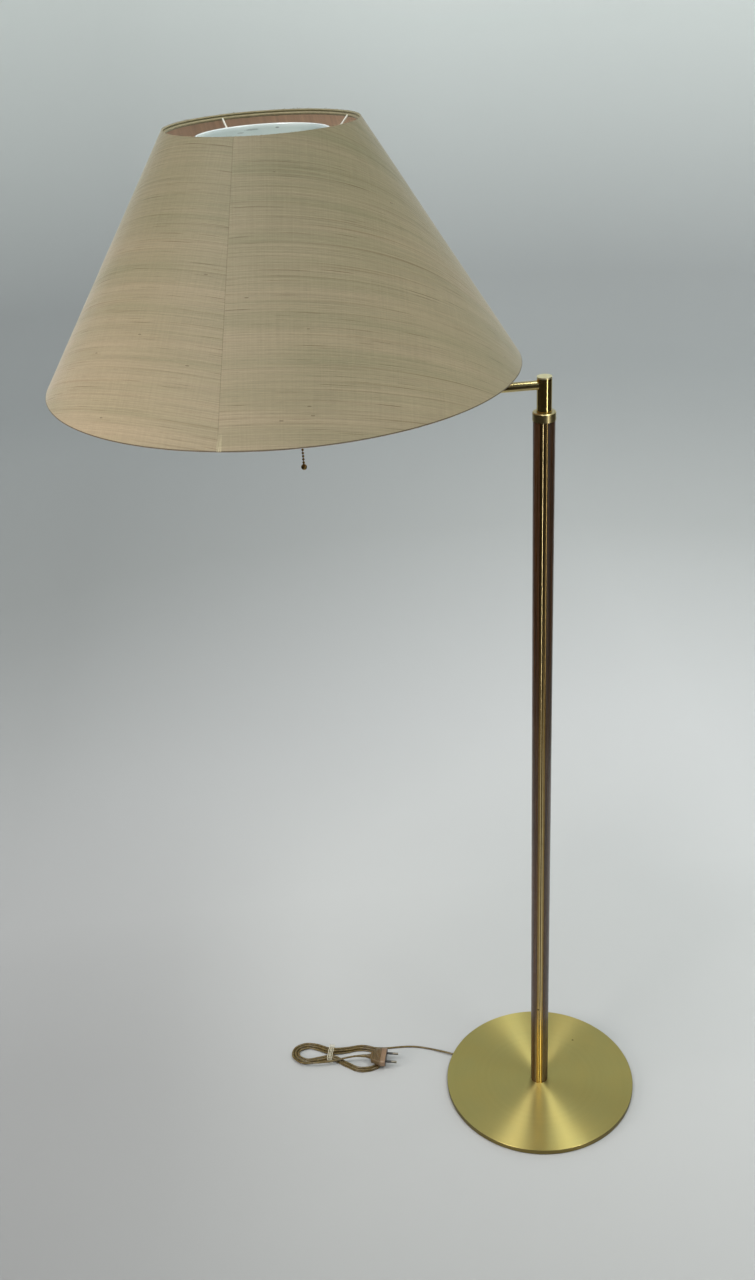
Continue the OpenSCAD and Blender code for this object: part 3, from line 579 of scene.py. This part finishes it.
def cloth_shell(name, t0, t1, around, up, amount, overlap, material, replaces, slot):
    """A thin closed cone of cloth between two depths, cut at the seam."""
    verts, faces, uvs, laps = [], [], [], []
    rows = [j / up for j in range(up + 1)]
    cols = [2 * math.pi * i / around for i in range(around + 1)]
    for side, depth in ((0, t0), (1, t1)):
        for turn in cols:
            lap = 0 if side else overlap * (1 - smooth((turn * R0 - LAP_END) / LAP_FADE))
            for along in rows:
                inward = depth - lap + wobble(turn % (2 * math.pi), along, amount)
                p = cone_point(turn, along, inward)
                if along in (0, 1):
                    p.z += EDGE_UNEVEN * noise.noise(Vector((turn * 40, along * 9, side)))
                verts.append(p)
                uvs.append(flat_uv(turn, along))
                past = turn if turn < math.pi else turn - 2 * math.pi
                laps.append((past * (R0 + (R1 - R0) * along), along))
    m = len(rows)
    layer = (around + 1) * m
    for i in range(around):
        for j in range(up):
            a = i * m + j
            faces.append((a, a + m, a + m + 1, a + 1))
            faces.append((layer + a, layer + a + 1, layer + a + m + 1, layer + a + m))
        for j in (0, up):
            a, b = i * m + j, (i + 1) * m + j
            faces.append((a, layer + a, layer + b, b) if j == 0 else (a, b, layer + b, layer + a))
    for i in (0, around):
        for j in range(up):
            a = i * m + j
            face = (a, a + 1, layer + a + 1, layer + a)
            faces.append(face if i == 0 else tuple(reversed(face)))
    obj = make(name, verts, faces, material, "arm", replaces, slot)
    corners = np.zeros(len(obj.data.loops), int)
    obj.data.loops.foreach_get("vertex_index", corners)
    for map_name, values in (("flat", uvs), ("lap", laps)):
        uv_map = obj.data.uv_layers.new(name=map_name)
        uv_map.data.foreach_set("uv", np.array(values)[corners].ravel())
    return obj


HEM, LOOSE_HIGH = 1.0 * MM, 17 * MM


def silk_material():
    m = Mat("wild_silk", Roughness=0.62, Sheen_Weight=0.32, Sheen_Roughness=0.35,
            Specular_IOR_Level=0.3)
    # The weft runs along the map's first axis; all scales are per metre
    band = m.on_cloth(1.4, 40, 4, 0.66)
    fine = m.on_cloth(8, 640, 2, 0.55)
    long = m.on_cloth(3.4, 420)
    slub = m.on_cloth(13, 860, 1, turn=0.02)
    grit = m.on_cloth(110, 1500, 2, 0.6)
    cloud = m.on_cloth(7, 9)
    stripes = m.ramp(band, (0.36, 0.0), (0.62, 1.0))
    base = m.mix(stripes, rgb(161, 145, 117), rgb(146, 136, 106))
    base = m.mix(m.ramp(cloud, (0.35, 0.0), (0.75, 0.5)), base, rgb(164, 148, 121))
    lines = m.ramp(long, (0.6, 1.0), (0.67, (0.9, 0.88, 0.85, 1)), (0.78, (0.76, 0.71, 0.64, 1)))
    thin = m.ramp(fine, (0.3, 1.05), (0.5, 1.0), (0.7, 0.9))
    grain = m.between(grit, 1.06, 0.92)
    upright = m.between(m.on_cloth(560, 16), 1.03, 0.95)
    marks = m.ramp(slub, (0.672, 1.0), (0.74, (0.56, 0.49, 0.4, 1)))
    for each in (lines, thin, grain, upright, marks):
        base = m.tint(base, each)
    x, _, height = m.xyz()
    # painted light: low on the left the silk is painted pinker and lighter
    painted_light_left = m.slope(x, AXIS_X + 0.1 / 4.5, AXIS_X - 0.9 / 4.5)
    low = m.slope(height, Z0 + 0.2, Z0)
    base = m.mix(m.math("MULTIPLY", painted_light_left, low), base, m.tint(base, (1.25, 1.2, 1.23, 1)))
    # painted shade: towards the top the silk is painted darker and a little greener
    painted_top_shade = m.slope(height, Z0 + 0.03, Z1 + 0.03)
    base = m.mix(painted_top_shade, base, m.tint(base, rgb(220, 224, 218)))
    hem = m.math("LESS_THAN", height, Z0 + HEM)
    base = m.mix(m.math("MULTIPLY", hem, 0.8), base, rgb(76, 62, 46))
    # the lap's free edge casts a fine dark line
    edge = m.xyz(m.where(name="lap"))[0]
    seam = m.math("COMPARE", edge, -0.5 * MM, 0.5 * MM)
    base = m.mix(m.math("MULTIPLY", seam, 0.3), base, rgb(92, 80, 56))
    # near the hem it has come loose, and pale threads show
    beside = m.math("COMPARE", edge, 1.6 * MM, 2.6 * MM)
    near_hem = m.slope(height, Z0 + LOOSE_HIGH, Z0)
    strands = m.ramp(m.noise(m.where((1100, 14, 1), name="lap")), (0.42, 0.0), (0.58, 1.0))
    loose = m.math("MULTIPLY", m.math("MULTIPLY", beside, near_hem), strands)
    base = m.mix(m.math("MULTIPLY", loose, 0.7), base, rgb(228, 216, 176))
    # short dark knots, a few millimetres long, in some cells only
    cell = m.add("TexVoronoi", Vector=m.where((30, 110, 1), name="flat"), Scale=1.0).outputs
    chance = m.add("SeparateColor", Color=cell["Color"]).outputs[0]
    knot = m.math("MULTIPLY", m.math("LESS_THAN", cell["Distance"], 0.075),
                  m.math("GREATER_THAN", chance, 0.82))
    base = m.mix(m.math("MULTIPLY", knot, 0.6), base, rgb(98, 82, 58))
    weave = m.math("ADD", m.math("MULTIPLY", m.threads(320.0, "Y", 2.0, 1.0), 0.6),
                   m.math("MULTIPLY", m.threads(360.0, "X", 1.0, 1.0), 0.4))
    rise = m.math("ADD", long, m.math("MULTIPLY", knot, 1.5))
    return m.done(base, normal=m.bump(rise, 0.5, 0.0006, m.bump(weave, 0.25, 0.0002)))


def lining_material():
    m = Mat("shade_lining", Roughness=0.8, Sheen_Weight=0.2)
    base = m.between(m.on_cloth(10, 200, 3), rgb(204, 170, 144), rgb(222, 188, 160))
    x, _, height = m.xyz()
    # it is lighter towards the column's side
    towards_column = m.slope(x, AXIS_X - 0.08, AXIS_X + 0.09)
    base = m.mix(towards_column, base, m.tint(base, (1.42, 1.45, 1.5, 1)))
    # the silk is turned over the upper ring, and ends a little unevenly
    ragged = m.math("MULTIPLY", m.noise(m.where(), 90, 2), 3 * MM)
    turned_over = m.math("GREATER_THAN", m.math("ADD", height, ragged), Z1 - 5 * MM)
    return m.done(m.mix(turned_over, base, rgb(158, 148, 112)),
                  normal=m.bump(m.threads(300.0, "Y", 1.0), 0.2, 0.0002))


silk = cloth_shell("shade_silk", -PROUD, SKIN_T - PROUD, 288, 60, UNEVEN, LAP_T,
                   silk_material(), ("shade_skin",), "silk")
inside = cloth_shell("shade_inside", SKIN_T, SKIN_T + LINING_T, 192, 30, 0.0, 0.0,
                     lining_material(), ("shade_lining",), "lining")

# Tufts of loose threads: the middle and half width in degrees, and how many threads
TUFTS = [(110, 5, 22), (70, 12, 26), (140, 5, 18), (155, 7, 10), (40, 8, 10), (-30, 5, 4),
         (-70, 8, 6), (-106, 4, 8), (200, 8, 8), (260, 6, 4)]


def fray_threads():
    """Short loose threads along the upper edge, in tufts."""
    parts = []
    rise = Vector((0, 0, 1))
    for middle, spread, count in TUFTS:
        for _ in range(count):
            a = math.radians(middle) + math.radians(rng.uniform(-spread, spread))
            base = cone_point(a - SEAM, 1.0, rng.uniform(0, 0.8) * MM)
            out = Vector((math.cos(a), math.sin(a), 0))
            lie = Vector((-math.sin(a), math.cos(a), 0)) * rng.uniform(-1, 1)
            length = rng.uniform(0.8, 2.6) * MM
            bend = rise * 0.7 + lie * 0.6 + out * rng.uniform(-0.3, 0.5)
            p1 = base + bend * length * 0.5
            p2 = p1 + (rise * rng.uniform(-0.3, 0.5) + lie) * length * 0.6
            line = spline([base - Vector((0, 0, 0.4 * MM)), base, p1, p2], 2)
            thread = ring(rng.uniform(0.06, 0.12) * MM, 4)
            parts.append(swept(line, thread, side_from=(out.x, out.y, 0.01)))
    return joined(parts)


def thread_material():
    m = Mat("loose_threads", Roughness=0.8, Sheen_Weight=0.3)
    return m.done(m.ramp(m.noise(m.where(), 300, 2),
                         (0.35, rgb(120, 116, 88)), (0.65, rgb(186, 176, 140))))


make("silk_fray", *fray_threads(), thread_material(), "arm", slot="silk")


# ---------- bowl ----------

BOWL_BASE, BOWL_RIM, BOWL_R, BOWL_T, BOWL_NECK = 1.414, 1.506, 0.075, 0.003, 0.0198
BOWL_FLAT = 0.0065    # flat base round the neck
BOWL_STEPS = 40
# Grey rub marks inside the far wall, near the rim: x and z of the middle, half length, strength
SCUFFS = [(-0.325, 1.5008, 0.0085, 0.4), (-0.296, 1.5014, 0.0022, 0.6),
          (-0.338, 1.4985, 0.004, 0.3)]
SCUFF_HALF = 0.0009


def bowl_profile():
    foot_r, inner_r, edge = BOWL_NECK + BOWL_FLAT, BOWL_NECK + 0.006, BOWL_T / 2

    def out(x):
        a = math.pi / 2 * x
        return np.array([foot_r + (BOWL_R - foot_r) * math.sin(a),
                         BOWL_BASE + (BOWL_RIM - BOWL_BASE) * (1 - math.cos(a) ** 1.25)])

    outer, inner = [], []
    for k in range(BOWL_STEPS):
        x = k / BOWL_STEPS
        d = unit(out(min(1, x + 0.01)) - out(max(0, x - 0.01)))
        outer.append(out(x))
        inner.append(out(x) + BOWL_T * np.array([-d[1], d[0]]))
    # rounded rim
    mid_r, top = BOWL_R - edge, BOWL_RIM - edge
    lip = [(mid_r + edge * math.cos(a), top + edge * math.sin(a))
           for a in np.linspace(0, math.pi, 9)]
    line = [(BOWL_NECK, BOWL_BASE)] + [tuple(p) for p in outer if p[1] < top] + lip
    line += [tuple(p) for p in reversed(inner) if p[1] < top and p[0] > inner_r]
    return line + [(inner_r, BOWL_BASE + BOWL_T), (BOWL_NECK, BOWL_BASE + BOWL_T)]


def bowl_material():
    m = Mat("opal_glass", Roughness=0.16, IOR=1.5, Subsurface_Weight=0.35,
            Subsurface_Radius=(1.0, 1.0, 1.0), Subsurface_Scale=0.004, Coat_Weight=0.3,
            Coat_Roughness=0.08)
    where = m.where()
    tone = m.between(m.noise(where, 26, 3), rgb(214, 222, 224), rgb(232, 238, 238))
    specks = m.math("GREATER_THAN", m.noise(m.where((60, 60, 400)), 1, 3, 0.7), 0.74)
    tone = m.mix(m.math("MULTIPLY", specks, 0.5), tone, rgb(110, 116, 118))
    place = m.xyz(where)
    behind = m.math("GREATER_THAN", place[1], 0.02)
    # painted shade: below the rim the wall is painted darker and a little greener than the rim
    wall = m.slope(place[2], BOWL_RIM - 2 * MM, BOWL_RIM - 5 * MM)
    tone = m.mix(wall, tone, m.tint(tone, (0.8, 0.83, 0.81, 1)))
    for x, z, half, much in SCUFFS:
        apart = m.vector("MULTIPLY_ADD", m.place(), (1 / half, 0, 1 / SCUFF_HALF),
                         (-x / half, 0, -z / SCUFF_HALF))["Vector"]
        far = m.vector("LENGTH", apart)["Value"]
        ragged = m.math("ADD", far, m.noise(where, 700, 3))
        rubbed = m.math("MULTIPLY", m.math("LESS_THAN", ragged, 1.4), behind)
        tone = m.mix(m.math("MULTIPLY", rubbed, much), tone, rgb(96, 102, 104))
    return m.done(tone, m.between(m.noise(where, 90, 3), 0.1, 0.24),
                  m.bump(m.noise(where, 14, 2), 0.1, 0.001))


make("bowl_opal", *turned(bowl_profile(), 128, (AXIS_X, 0)), bowl_material(), "arm", ("bowl",),
     "bowl_glass")


# ---------- pull chain ----------

CHAIN = (AXIS_X + 0.012, -0.020)
BEAD_PITCH, BEAD_R, LINK_R, LINK_PAST = 0.004, 0.0016, 0.34 * MM, 0.0018
BALL_Z, BALL_R = 1.128, 0.0037


def bead_chain(first, count, low_link):
    """Beads from a height upwards on one thin link, which starts low_link below the first."""
    parts = []
    for i in range(count):
        z = first + i * BEAD_PITCH
        bead = [(0.0, z - BEAD_R * 0.99)]
        bead += [(BEAD_R * math.cos(a), z + BEAD_R * math.sin(a))
                 for a in np.linspace(-1.25, 1.25, 9)]
        bead.append((0.0, z + BEAD_R * 0.99))
        parts.append(turned(bead, 14, CHAIN, closed=False))
    low, high = first - low_link, first + (count - 1) * BEAD_PITCH + LINK_PAST
    link = [(0.0, low), (LINK_R, low), (LINK_R, high), (0.0, high)]
    parts.append(turned(link, 10, CHAIN, closed=False))
    return joined(parts)


def old_brass():
    m = Mat("old_brass", Metallic=1.0, Roughness=0.34)
    where = m.where()
    return m.done(m.between(m.noise(where, 500, 4), rgb(92, 76, 44), rgb(158, 134, 84)),
                  m.between(m.noise(where, 900, 3), 0.24, 0.5),
                  m.bump(m.noise(where, 2500, 2), 0.2, 0.0001))


chain_mat = old_brass()
make("chain_beads", *bead_chain(1.1338, 55, 0.0024), chain_mat, "chain_swing", ("chain_hang",),
     "dull_brass")
make("chain_upper", *bead_chain(1.3538, 3, 0.0019), chain_mat, "chain_pull", ("chain_top",),
     "dull_brass")
ball = [(0.0, BALL_Z - BALL_R)]
ball += [(BALL_R * math.cos(a), BALL_Z + BALL_R * math.sin(a)) for a in np.linspace(-1.4, 1.3, 20)]
ball += [(0.0012, 1.1318), (0.0009, 1.1325), (0.0, 1.1325)]
make("chain_end", *turned(ball, 28, CHAIN, closed=False), chain_mat, "chain_swing",
     ("chain_ball",), "dull_brass")


# ---------- the shade's two wire rings, bound with cloth tape ----------

WIRE_R, TAPE_T, TAPE_LAP = 1.5 * MM, 0.1 * MM, 0.22 * MM
RING_IN, RING_UP = 3.91 * MM, 4.5 * MM
LAP_RINGS, TAPE_SIDES = 6, 12


def taped_ring(r, z, laps):
    """A wire ring with tape wound round it, one lap a few millimetres wide."""
    n = laps * LAP_RINGS
    verts = []
    for i in range(n):
        a = 2 * math.pi * i / n
        for j in range(TAPE_SIDES):
            b = 2 * math.pi * j / TAPE_SIDES
            lap = (i / LAP_RINGS + j / TAPE_SIDES) % 1.0
            k = WIRE_R + TAPE_T + TAPE_LAP * lap
            d = r + k * math.cos(b)
            verts.append((AXIS_X + d * math.cos(a), d * math.sin(a), z + k * math.sin(b)))
    return verts, grid_faces(n, TAPE_SIDES)


def tape_material():
    m = Mat("ring_tape", Roughness=0.85, Sheen_Weight=0.25)
    where = m.where()
    return m.done(m.between(m.noise(where, 260, 3), rgb(138, 128, 96), rgb(156, 144, 110)),
                  normal=m.bump(m.noise(where, 2600, 2), 0.3, 0.0001))


tape_mat = tape_material()
for which, ring_z, laps in (("top", Z1 - RING_UP, 90), ("bottom", Z0 + RING_UP, 230)):
    make(which + "_ring_tape", *taped_ring(shade_r(ring_z) - RING_IN, ring_z, laps),
         tape_mat, "arm", (which + "_ring",), "lining")


# ---------- hard materials ----------

FOOT_R, FOOT_TOP = 0.155, 0.0094
STAIN_AT, STAIN_R = (0.0739, 0.0745, FOOT_TOP), 0.0026
STRIP_W, STRIP_TURN = 10.0 * MM, math.radians(-11)


def radial_brass():
    """Brass turned on a lathe: fine rings about the foot's middle."""
    m = Mat("turned_brass", Metallic=1.0, Roughness=0.36, Anisotropic=0.9,
            Anisotropic_Rotation=0.25)
    where = m.place()
    r = m.from_axis(m.xyz(where))
    rings, broad = (m.add("TexNoise", noise_dimensions="1D", W=r, Scale=scale, Detail=detail)
                    .outputs["Fac"] for scale, detail in ((2600.0, 3.0), (160.0, 2.0)))
    tone = m.between(broad, rgb(193, 179, 112), rgb(195, 181, 114))
    patches = m.ramp(m.noise(where, 22, 3), (0.35, 0.0), (0.75, 0.35))
    tone = m.mix(patches, tone, rgb(206, 182, 106))
    away = m.vector("DISTANCE", where, STAIN_AT)["Value"]
    ragged = m.math("ADD", away, m.math("MULTIPLY", m.noise(where, 900, 2), 0.0016))
    stain = m.math("LESS_THAN", ragged, STAIN_R)
    tone = m.mix(m.math("MULTIPLY", stain, 0.6), tone, rgb(70, 54, 24))
    # painted shade: the rim's side is painted darker and browner than the lacquered top
    side = m.math("GREATER_THAN", r, FOOT_R - 0.2 * MM)
    tone = m.mix(m.math("MULTIPLY", side, 0.8), tone, rgb(104, 88, 48))
    around = m.add("Tangent", direction_type="RADIAL", axis="Z").outputs[0]
    m.put(m.shader.inputs["Tangent"], around)
    return m.done(tone, m.between(rings, 0.3, 0.33), m.bump(rings, 0.05, 0.00002))


def bright_brass(name, colour, low, high, scale=(60, 60, 900)):
    m = Mat(name, Metallic=1.0)
    line = m.noise(m.where(scale), 1, 3)
    return m.done(wear(m, colour, 0.08, 40), m.between(line, low, high),
                  m.bump(line, 0.003, 0.00005))


def strip_material():
    """Polished ribs, with painted highlights along them, tarnish and painted shade in the groove
    between them, and dark tarnish along their edges.
    """
    m = Mat("strip_brass", Metallic=1.0)
    line = m.noise(m.where((900, 900, 12)), 1, 3)
    across = m.vector("DOT_PRODUCT", m.place(),
                      (math.cos(STRIP_TURN), math.sin(STRIP_TURN), 0))["Value"]
    # painted highlight: the two brightest stops are bright lines along the ribs; the dark middle
    # stops are the groove's tarnish and painted shade
    tone = m.ramp(m.math("MULTIPLY_ADD", across, 1 / STRIP_W, 0.5),
                  (0.0, rgb(84, 66, 36)), (0.06, rgb(158, 132, 84)), (0.3, rgb(166, 140, 90)),
                  (0.38, rgb(226, 208, 158)), (0.43, rgb(190, 164, 110)), (0.465, rgb(48, 36, 18)),
                  (0.535, rgb(48, 36, 18)), (0.57, rgb(190, 164, 110)), (0.67, rgb(226, 208, 158)),
                  (0.78, rgb(170, 144, 92)), (0.94, rgb(150, 124, 76)), (1.0, rgb(84, 66, 36)))
    return m.done(wear(m, tone, 0.1, 60), m.between(line, 0.23, 0.27),
                  m.bump(line, 0.003, 0.00005))


def wood_material():
    m = Mat("dark_wood", Roughness=0.3, Coat_Weight=0.3, Coat_Roughness=0.14)
    grain = m.noise(m.where((300, 300, 5)), 1, 5, 0.6)
    pore = m.noise(m.where((1500, 1500, 22)), 1, 2)
    tone = m.ramp(grain, (0.3, rgb(38, 22, 9)), (0.5, rgb(72, 45, 23)), (0.72, rgb(98, 65, 38)))
    return m.done(m.tint(tone, m.ramp(pore, (0.4, 0.72), (0.55, 1.0))),
                  m.ramp(pore, (0.35, 0.42), (0.6, 0.26)), m.bump(pore, 0.12, 0.0001))


def plain(name, colour, low, high, scale, metallic=0.0):
    """A finish with slow uneven tone, and fine uneven gloss from low to high roughness."""
    m = Mat(name, Metallic=metallic)
    where = m.where()
    return m.done(wear(m, colour, 0.14, scale / 8), m.between(m.noise(where, scale, 3), low, high),
                  m.bump(m.noise(where, scale * 3, 2), 0.15, 0.0001))


# Each finish, and the CAD nodes that have it
FINISHES = [
    (radial_brass(), "base_cover"),
    (wood_material(), "column_wood"),
    (strip_material(), "column_strip"),
    (bright_brass("polished_brass", rgb(216, 192, 124), 0.12, 0.15, (35, 35, 35)),
     "swivel_post riser_tube lock_nut holder_cup chain_guide holder_shell screw_shell "
     "centre_contact lower_ring upper_ring"),
    # arm_brass is a darker, duller copy of the polished brass: painted shade on the arm
    (bright_brass("arm_brass", rgb(188, 172, 124), 0.15, 0.19, (35, 35, 35)),
     "arm_tube end_block"),
    (bright_brass("collar_brass", rgb(192, 178, 132), 0.3, 0.4), "collar"),
    (bright_brass("cap_brass", rgb(240, 230, 184), 0.3, 0.42, (500, 500, 500)), "post_cap"),
    (plain("dark_screw", rgb(70, 56, 32), 0.3, 0.5, 900, 1.0), "strip_screw"),
    (plain("plated_steel", rgb(150, 150, 150), 0.3, 0.45, 300, 1.0),
     "base_screws column_spigot tie_tube top_washer top_nut bulb_cap"),
    (plain("iron", rgb(70, 70, 72), 0.5, 0.7, 300, 1.0), "base_weight"),
    (plain("pin_metal", rgb(118, 114, 102), 0.3, 0.46, 600, 1.0), "plug_pins"),
    (plain("white_enamel", rgb(214, 212, 200), 0.3, 0.45, 500),
     "fitter_ring spider_wires top_ring bottom_ring"),
    (plain("felt", rgb(48, 44, 40), 0.9, 1.0, 2000), "base_pad"),
    (plain("nylon", rgb(222, 216, 198), 0.4, 0.55, 500), "swivel_sleeve"),
    (plain("bush_rubber", rgb(62, 50, 32), 0.5, 0.7, 900), "cord_bush"),
    (plain("bakelite", rgb(34, 28, 25), 0.2, 0.34, 300), "switch_body"),
    (plain("porcelain", rgb(226, 222, 212), 0.14, 0.26, 200), "socket_core"),
    (plain("coated_glass", rgb(236, 234, 228), 0.2, 0.32, 200), "bulb_glass"),
    (plain("pin_sleeve", rgb(30, 27, 25), 0.35, 0.5, 600), "pin_sleeves"),
    (cord_mat, "column_wire arm_wire"),
]
for material, names in FINISHES:
    for node_name in names.split():
        slots = nodes[node_name].data.materials
        slots.clear()
        slots.append(material)


# ---------- stage and light ----------

ROOM_R, ROOM_BEND, ROOM_HIGH = 6.0, 1.8, 7.0
PANEL_R, PANEL_FOOT_R, PANEL_HIGH = 1.45, 1.0, 1.9
PANEL_FROM, PANEL_TO, PANEL_STEPS = math.radians(-218), math.radians(30), 48
CARD_X, CARD_Y, CARD_Z = (-0.15, 0.36), (-0.35, -1.6), 2.3


def stage_piece(name, verts, faces, material, camera=True):
    obj = make(name, verts, faces, material, None)
    obj.visible_camera = camera
    return obj


def stage_material():
    """Pale paper with painted light and shade: greyer and dimmer away from the lamp, paler high on
    the wall, brighter towards the back and the right.
    """
    m = Mat("paper", Roughness=0.9, Specular_IOR_Level=0.0)
    x, y, z = m.xyz()
    far = m.math("DIVIDE", m.from_axis((x, y)), ROOM_R)
    tone = m.ramp(far, (0.08, rgb(206, 206, 207)), (0.2, rgb(198, 198, 200)),
                  (0.4, rgb(180, 181, 182)), (0.7, rgb(176, 178, 180)))
    high = m.ramp(m.math("DIVIDE", z, 2.0), (0.1, 0.0), (0.75, 1.0))
    tone = m.mix(high, tone, rgb(248, 252, 251))

    def tilt(value, least, most, rate):
        """A steady change between two places."""
        return m.math("MULTIPLY", m.math("MAXIMUM", m.math("MINIMUM", value, most), least), rate)

    # painted light: brighter towards the back and the right, dimmer towards the front and the left
    near = m.ramp(far, (0.35, 1.0), (0.6, 0.4))
    across, deep = tilt(x, -1.0, 0.6, 0.28), tilt(y, -0.9, 0.55, 0.33)
    painted_light_falloff = m.math("ADD", m.math("MULTIPLY_ADD", across, near, deep), 0.9)
    tone = m.tint(tone, m.add("CombineColor", Red=painted_light_falloff, Green=painted_light_falloff, Blue=painted_light_falloff).outputs[0])
    return m.done(m.tint(tone, m.between(m.noise(m.where(), 0.6, 1), 0.98, 1.0)))


# A round floor that sweeps up into a wall all round
floor_r = ROOM_R - ROOM_BEND
sweep_line = [(0.0, 0.0), (1.0, 0.0), (2.5, 0.0), (floor_r, 0.0)]
sweep_line += [(floor_r + ROOM_BEND * math.sin(a), ROOM_BEND - ROOM_BEND * math.cos(a))
               for a in np.linspace(0.1, math.pi / 2, 14)]
sweep_line += [(ROOM_R, 3.0), (ROOM_R, ROOM_HIGH)]
stage_piece("paper", *turned(sweep_line, 96, (-0.15, 0.0), closed=False), stage_material())

HIGH_LEFT, LAMP_FOOT = (-2.25, -1.45, 5.1), (-0.1, -0.1, 0.3)
LINE_A, LINE_R = math.radians(-58), 1.4
# Name, place, aim, size, watts, colour, and the rays that don't see it
LIGHTS = [
    ("left_strip", HIGH_LEFT, LAMP_FOOT, (1.2, 2.0), 80, (1.0, 0.985, 0.95), ()),
    ("right_strip", (1.5, -1.0, 5.6), (1.5, -0.9999, 0), (1.1, 3.4), 130, (0.96, 1.0, 0.95), ()),
    ("left_shine", HIGH_LEFT, LAMP_FOOT, (1.1, 2.0), 180, (1.0, 0.96, 0.9), ("diffuse", "camera")),
    ("front_fill", (-2.3, -0.45, 0.9), (-0.45, 0, 1.3), (1.0, 1.0), 20, (1.0, 0.95, 0.91),
     ("glossy",)),
    ("line", (LINE_R * math.cos(LINE_A), LINE_R * math.sin(LINE_A), 1.0), (0, 0, 1.0), (0.1, 2.0),
     6.5, (1.0, 0.98, 0.93), ("diffuse", "camera")),
]
for name, at, aim, size, watts, colour, unseen in LIGHTS:
    light = bpy.data.lights.new(name, "AREA")
    light.shape, (light.size, light.size_y) = "RECTANGLE", size
    light.energy, light.color = watts, colour
    obj = bpy.data.objects.new(name, light)
    obj.location = at
    obj.rotation_euler = (Vector(aim) - Vector(at)).to_track_quat("-Z", "Y").to_euler()
    bpy.context.scene.collection.objects.link(obj)
    for ray in unseen:
        setattr(obj, "visible_" + ray, False)


def black_material():
    """Near the floor the panel's foot fades into the pale paper."""
    m = Mat("black_cloth", Roughness=0.95)
    place = m.xyz()
    fade = m.slope(m.from_axis(place), PANEL_FOOT_R, PANEL_R)
    tone = m.ramp(m.math("ADD", fade, place[2], clamp=True), (0.0, (0.34, 0.3, 0.24, 1)),
                  (0.4, (0.24, 0.2, 0.15, 1)), (1.0, (0.042, 0.032, 0.022, 1)))
    return m.done(m.tint(tone, m.between(m.noise(m.where(), 20, 2), 1.0, 0.75)))


def panel():
    """A curved wall round the lamp, with a low flat foot inside it."""
    verts, line = [], [(PANEL_FOOT_R, 0.01), (PANEL_R, 0.02), (PANEL_R, PANEL_HIGH)]
    for i in range(PANEL_STEPS + 1):
        a = PANEL_FROM + (PANEL_TO - PANEL_FROM) * i / PANEL_STEPS
        verts += [(r * math.cos(a), r * math.sin(a), z) for r, z in line]
    return verts, grid_faces(PANEL_STEPS + 1, len(line), wrap_rows=False, wrap_cols=False)


def card():
    """A small level card high over the arm, which keeps the arm from shining all over."""
    corners = ((CARD_X[0], CARD_Y[0]), (CARD_X[1], CARD_Y[0]), (CARD_X[1], CARD_Y[1]),
               (CARD_X[0], CARD_Y[1]))
    return [(x, y, CARD_Z) for x, y in corners], [(0, 1, 2, 3)]


# Black cloth that only reflections see
black = black_material()
for name, shape in (("black_panel", panel()), ("black_card", card())):
    obj = stage_piece(name, *shape, black, camera=False)
    obj.visible_diffuse = obj.visible_shadow = obj.visible_transmission = False

world = bpy.data.worlds.new("world")
bpy.context.scene.world = world
world.use_nodes = True
sky = world.node_tree.nodes["Background"].inputs
sky["Color"].default_value = (0.9, 0.95, 0.95, 1)
sky["Strength"].default_value = 0.55

bpy.context.scene.view_settings.view_transform = "Standard"
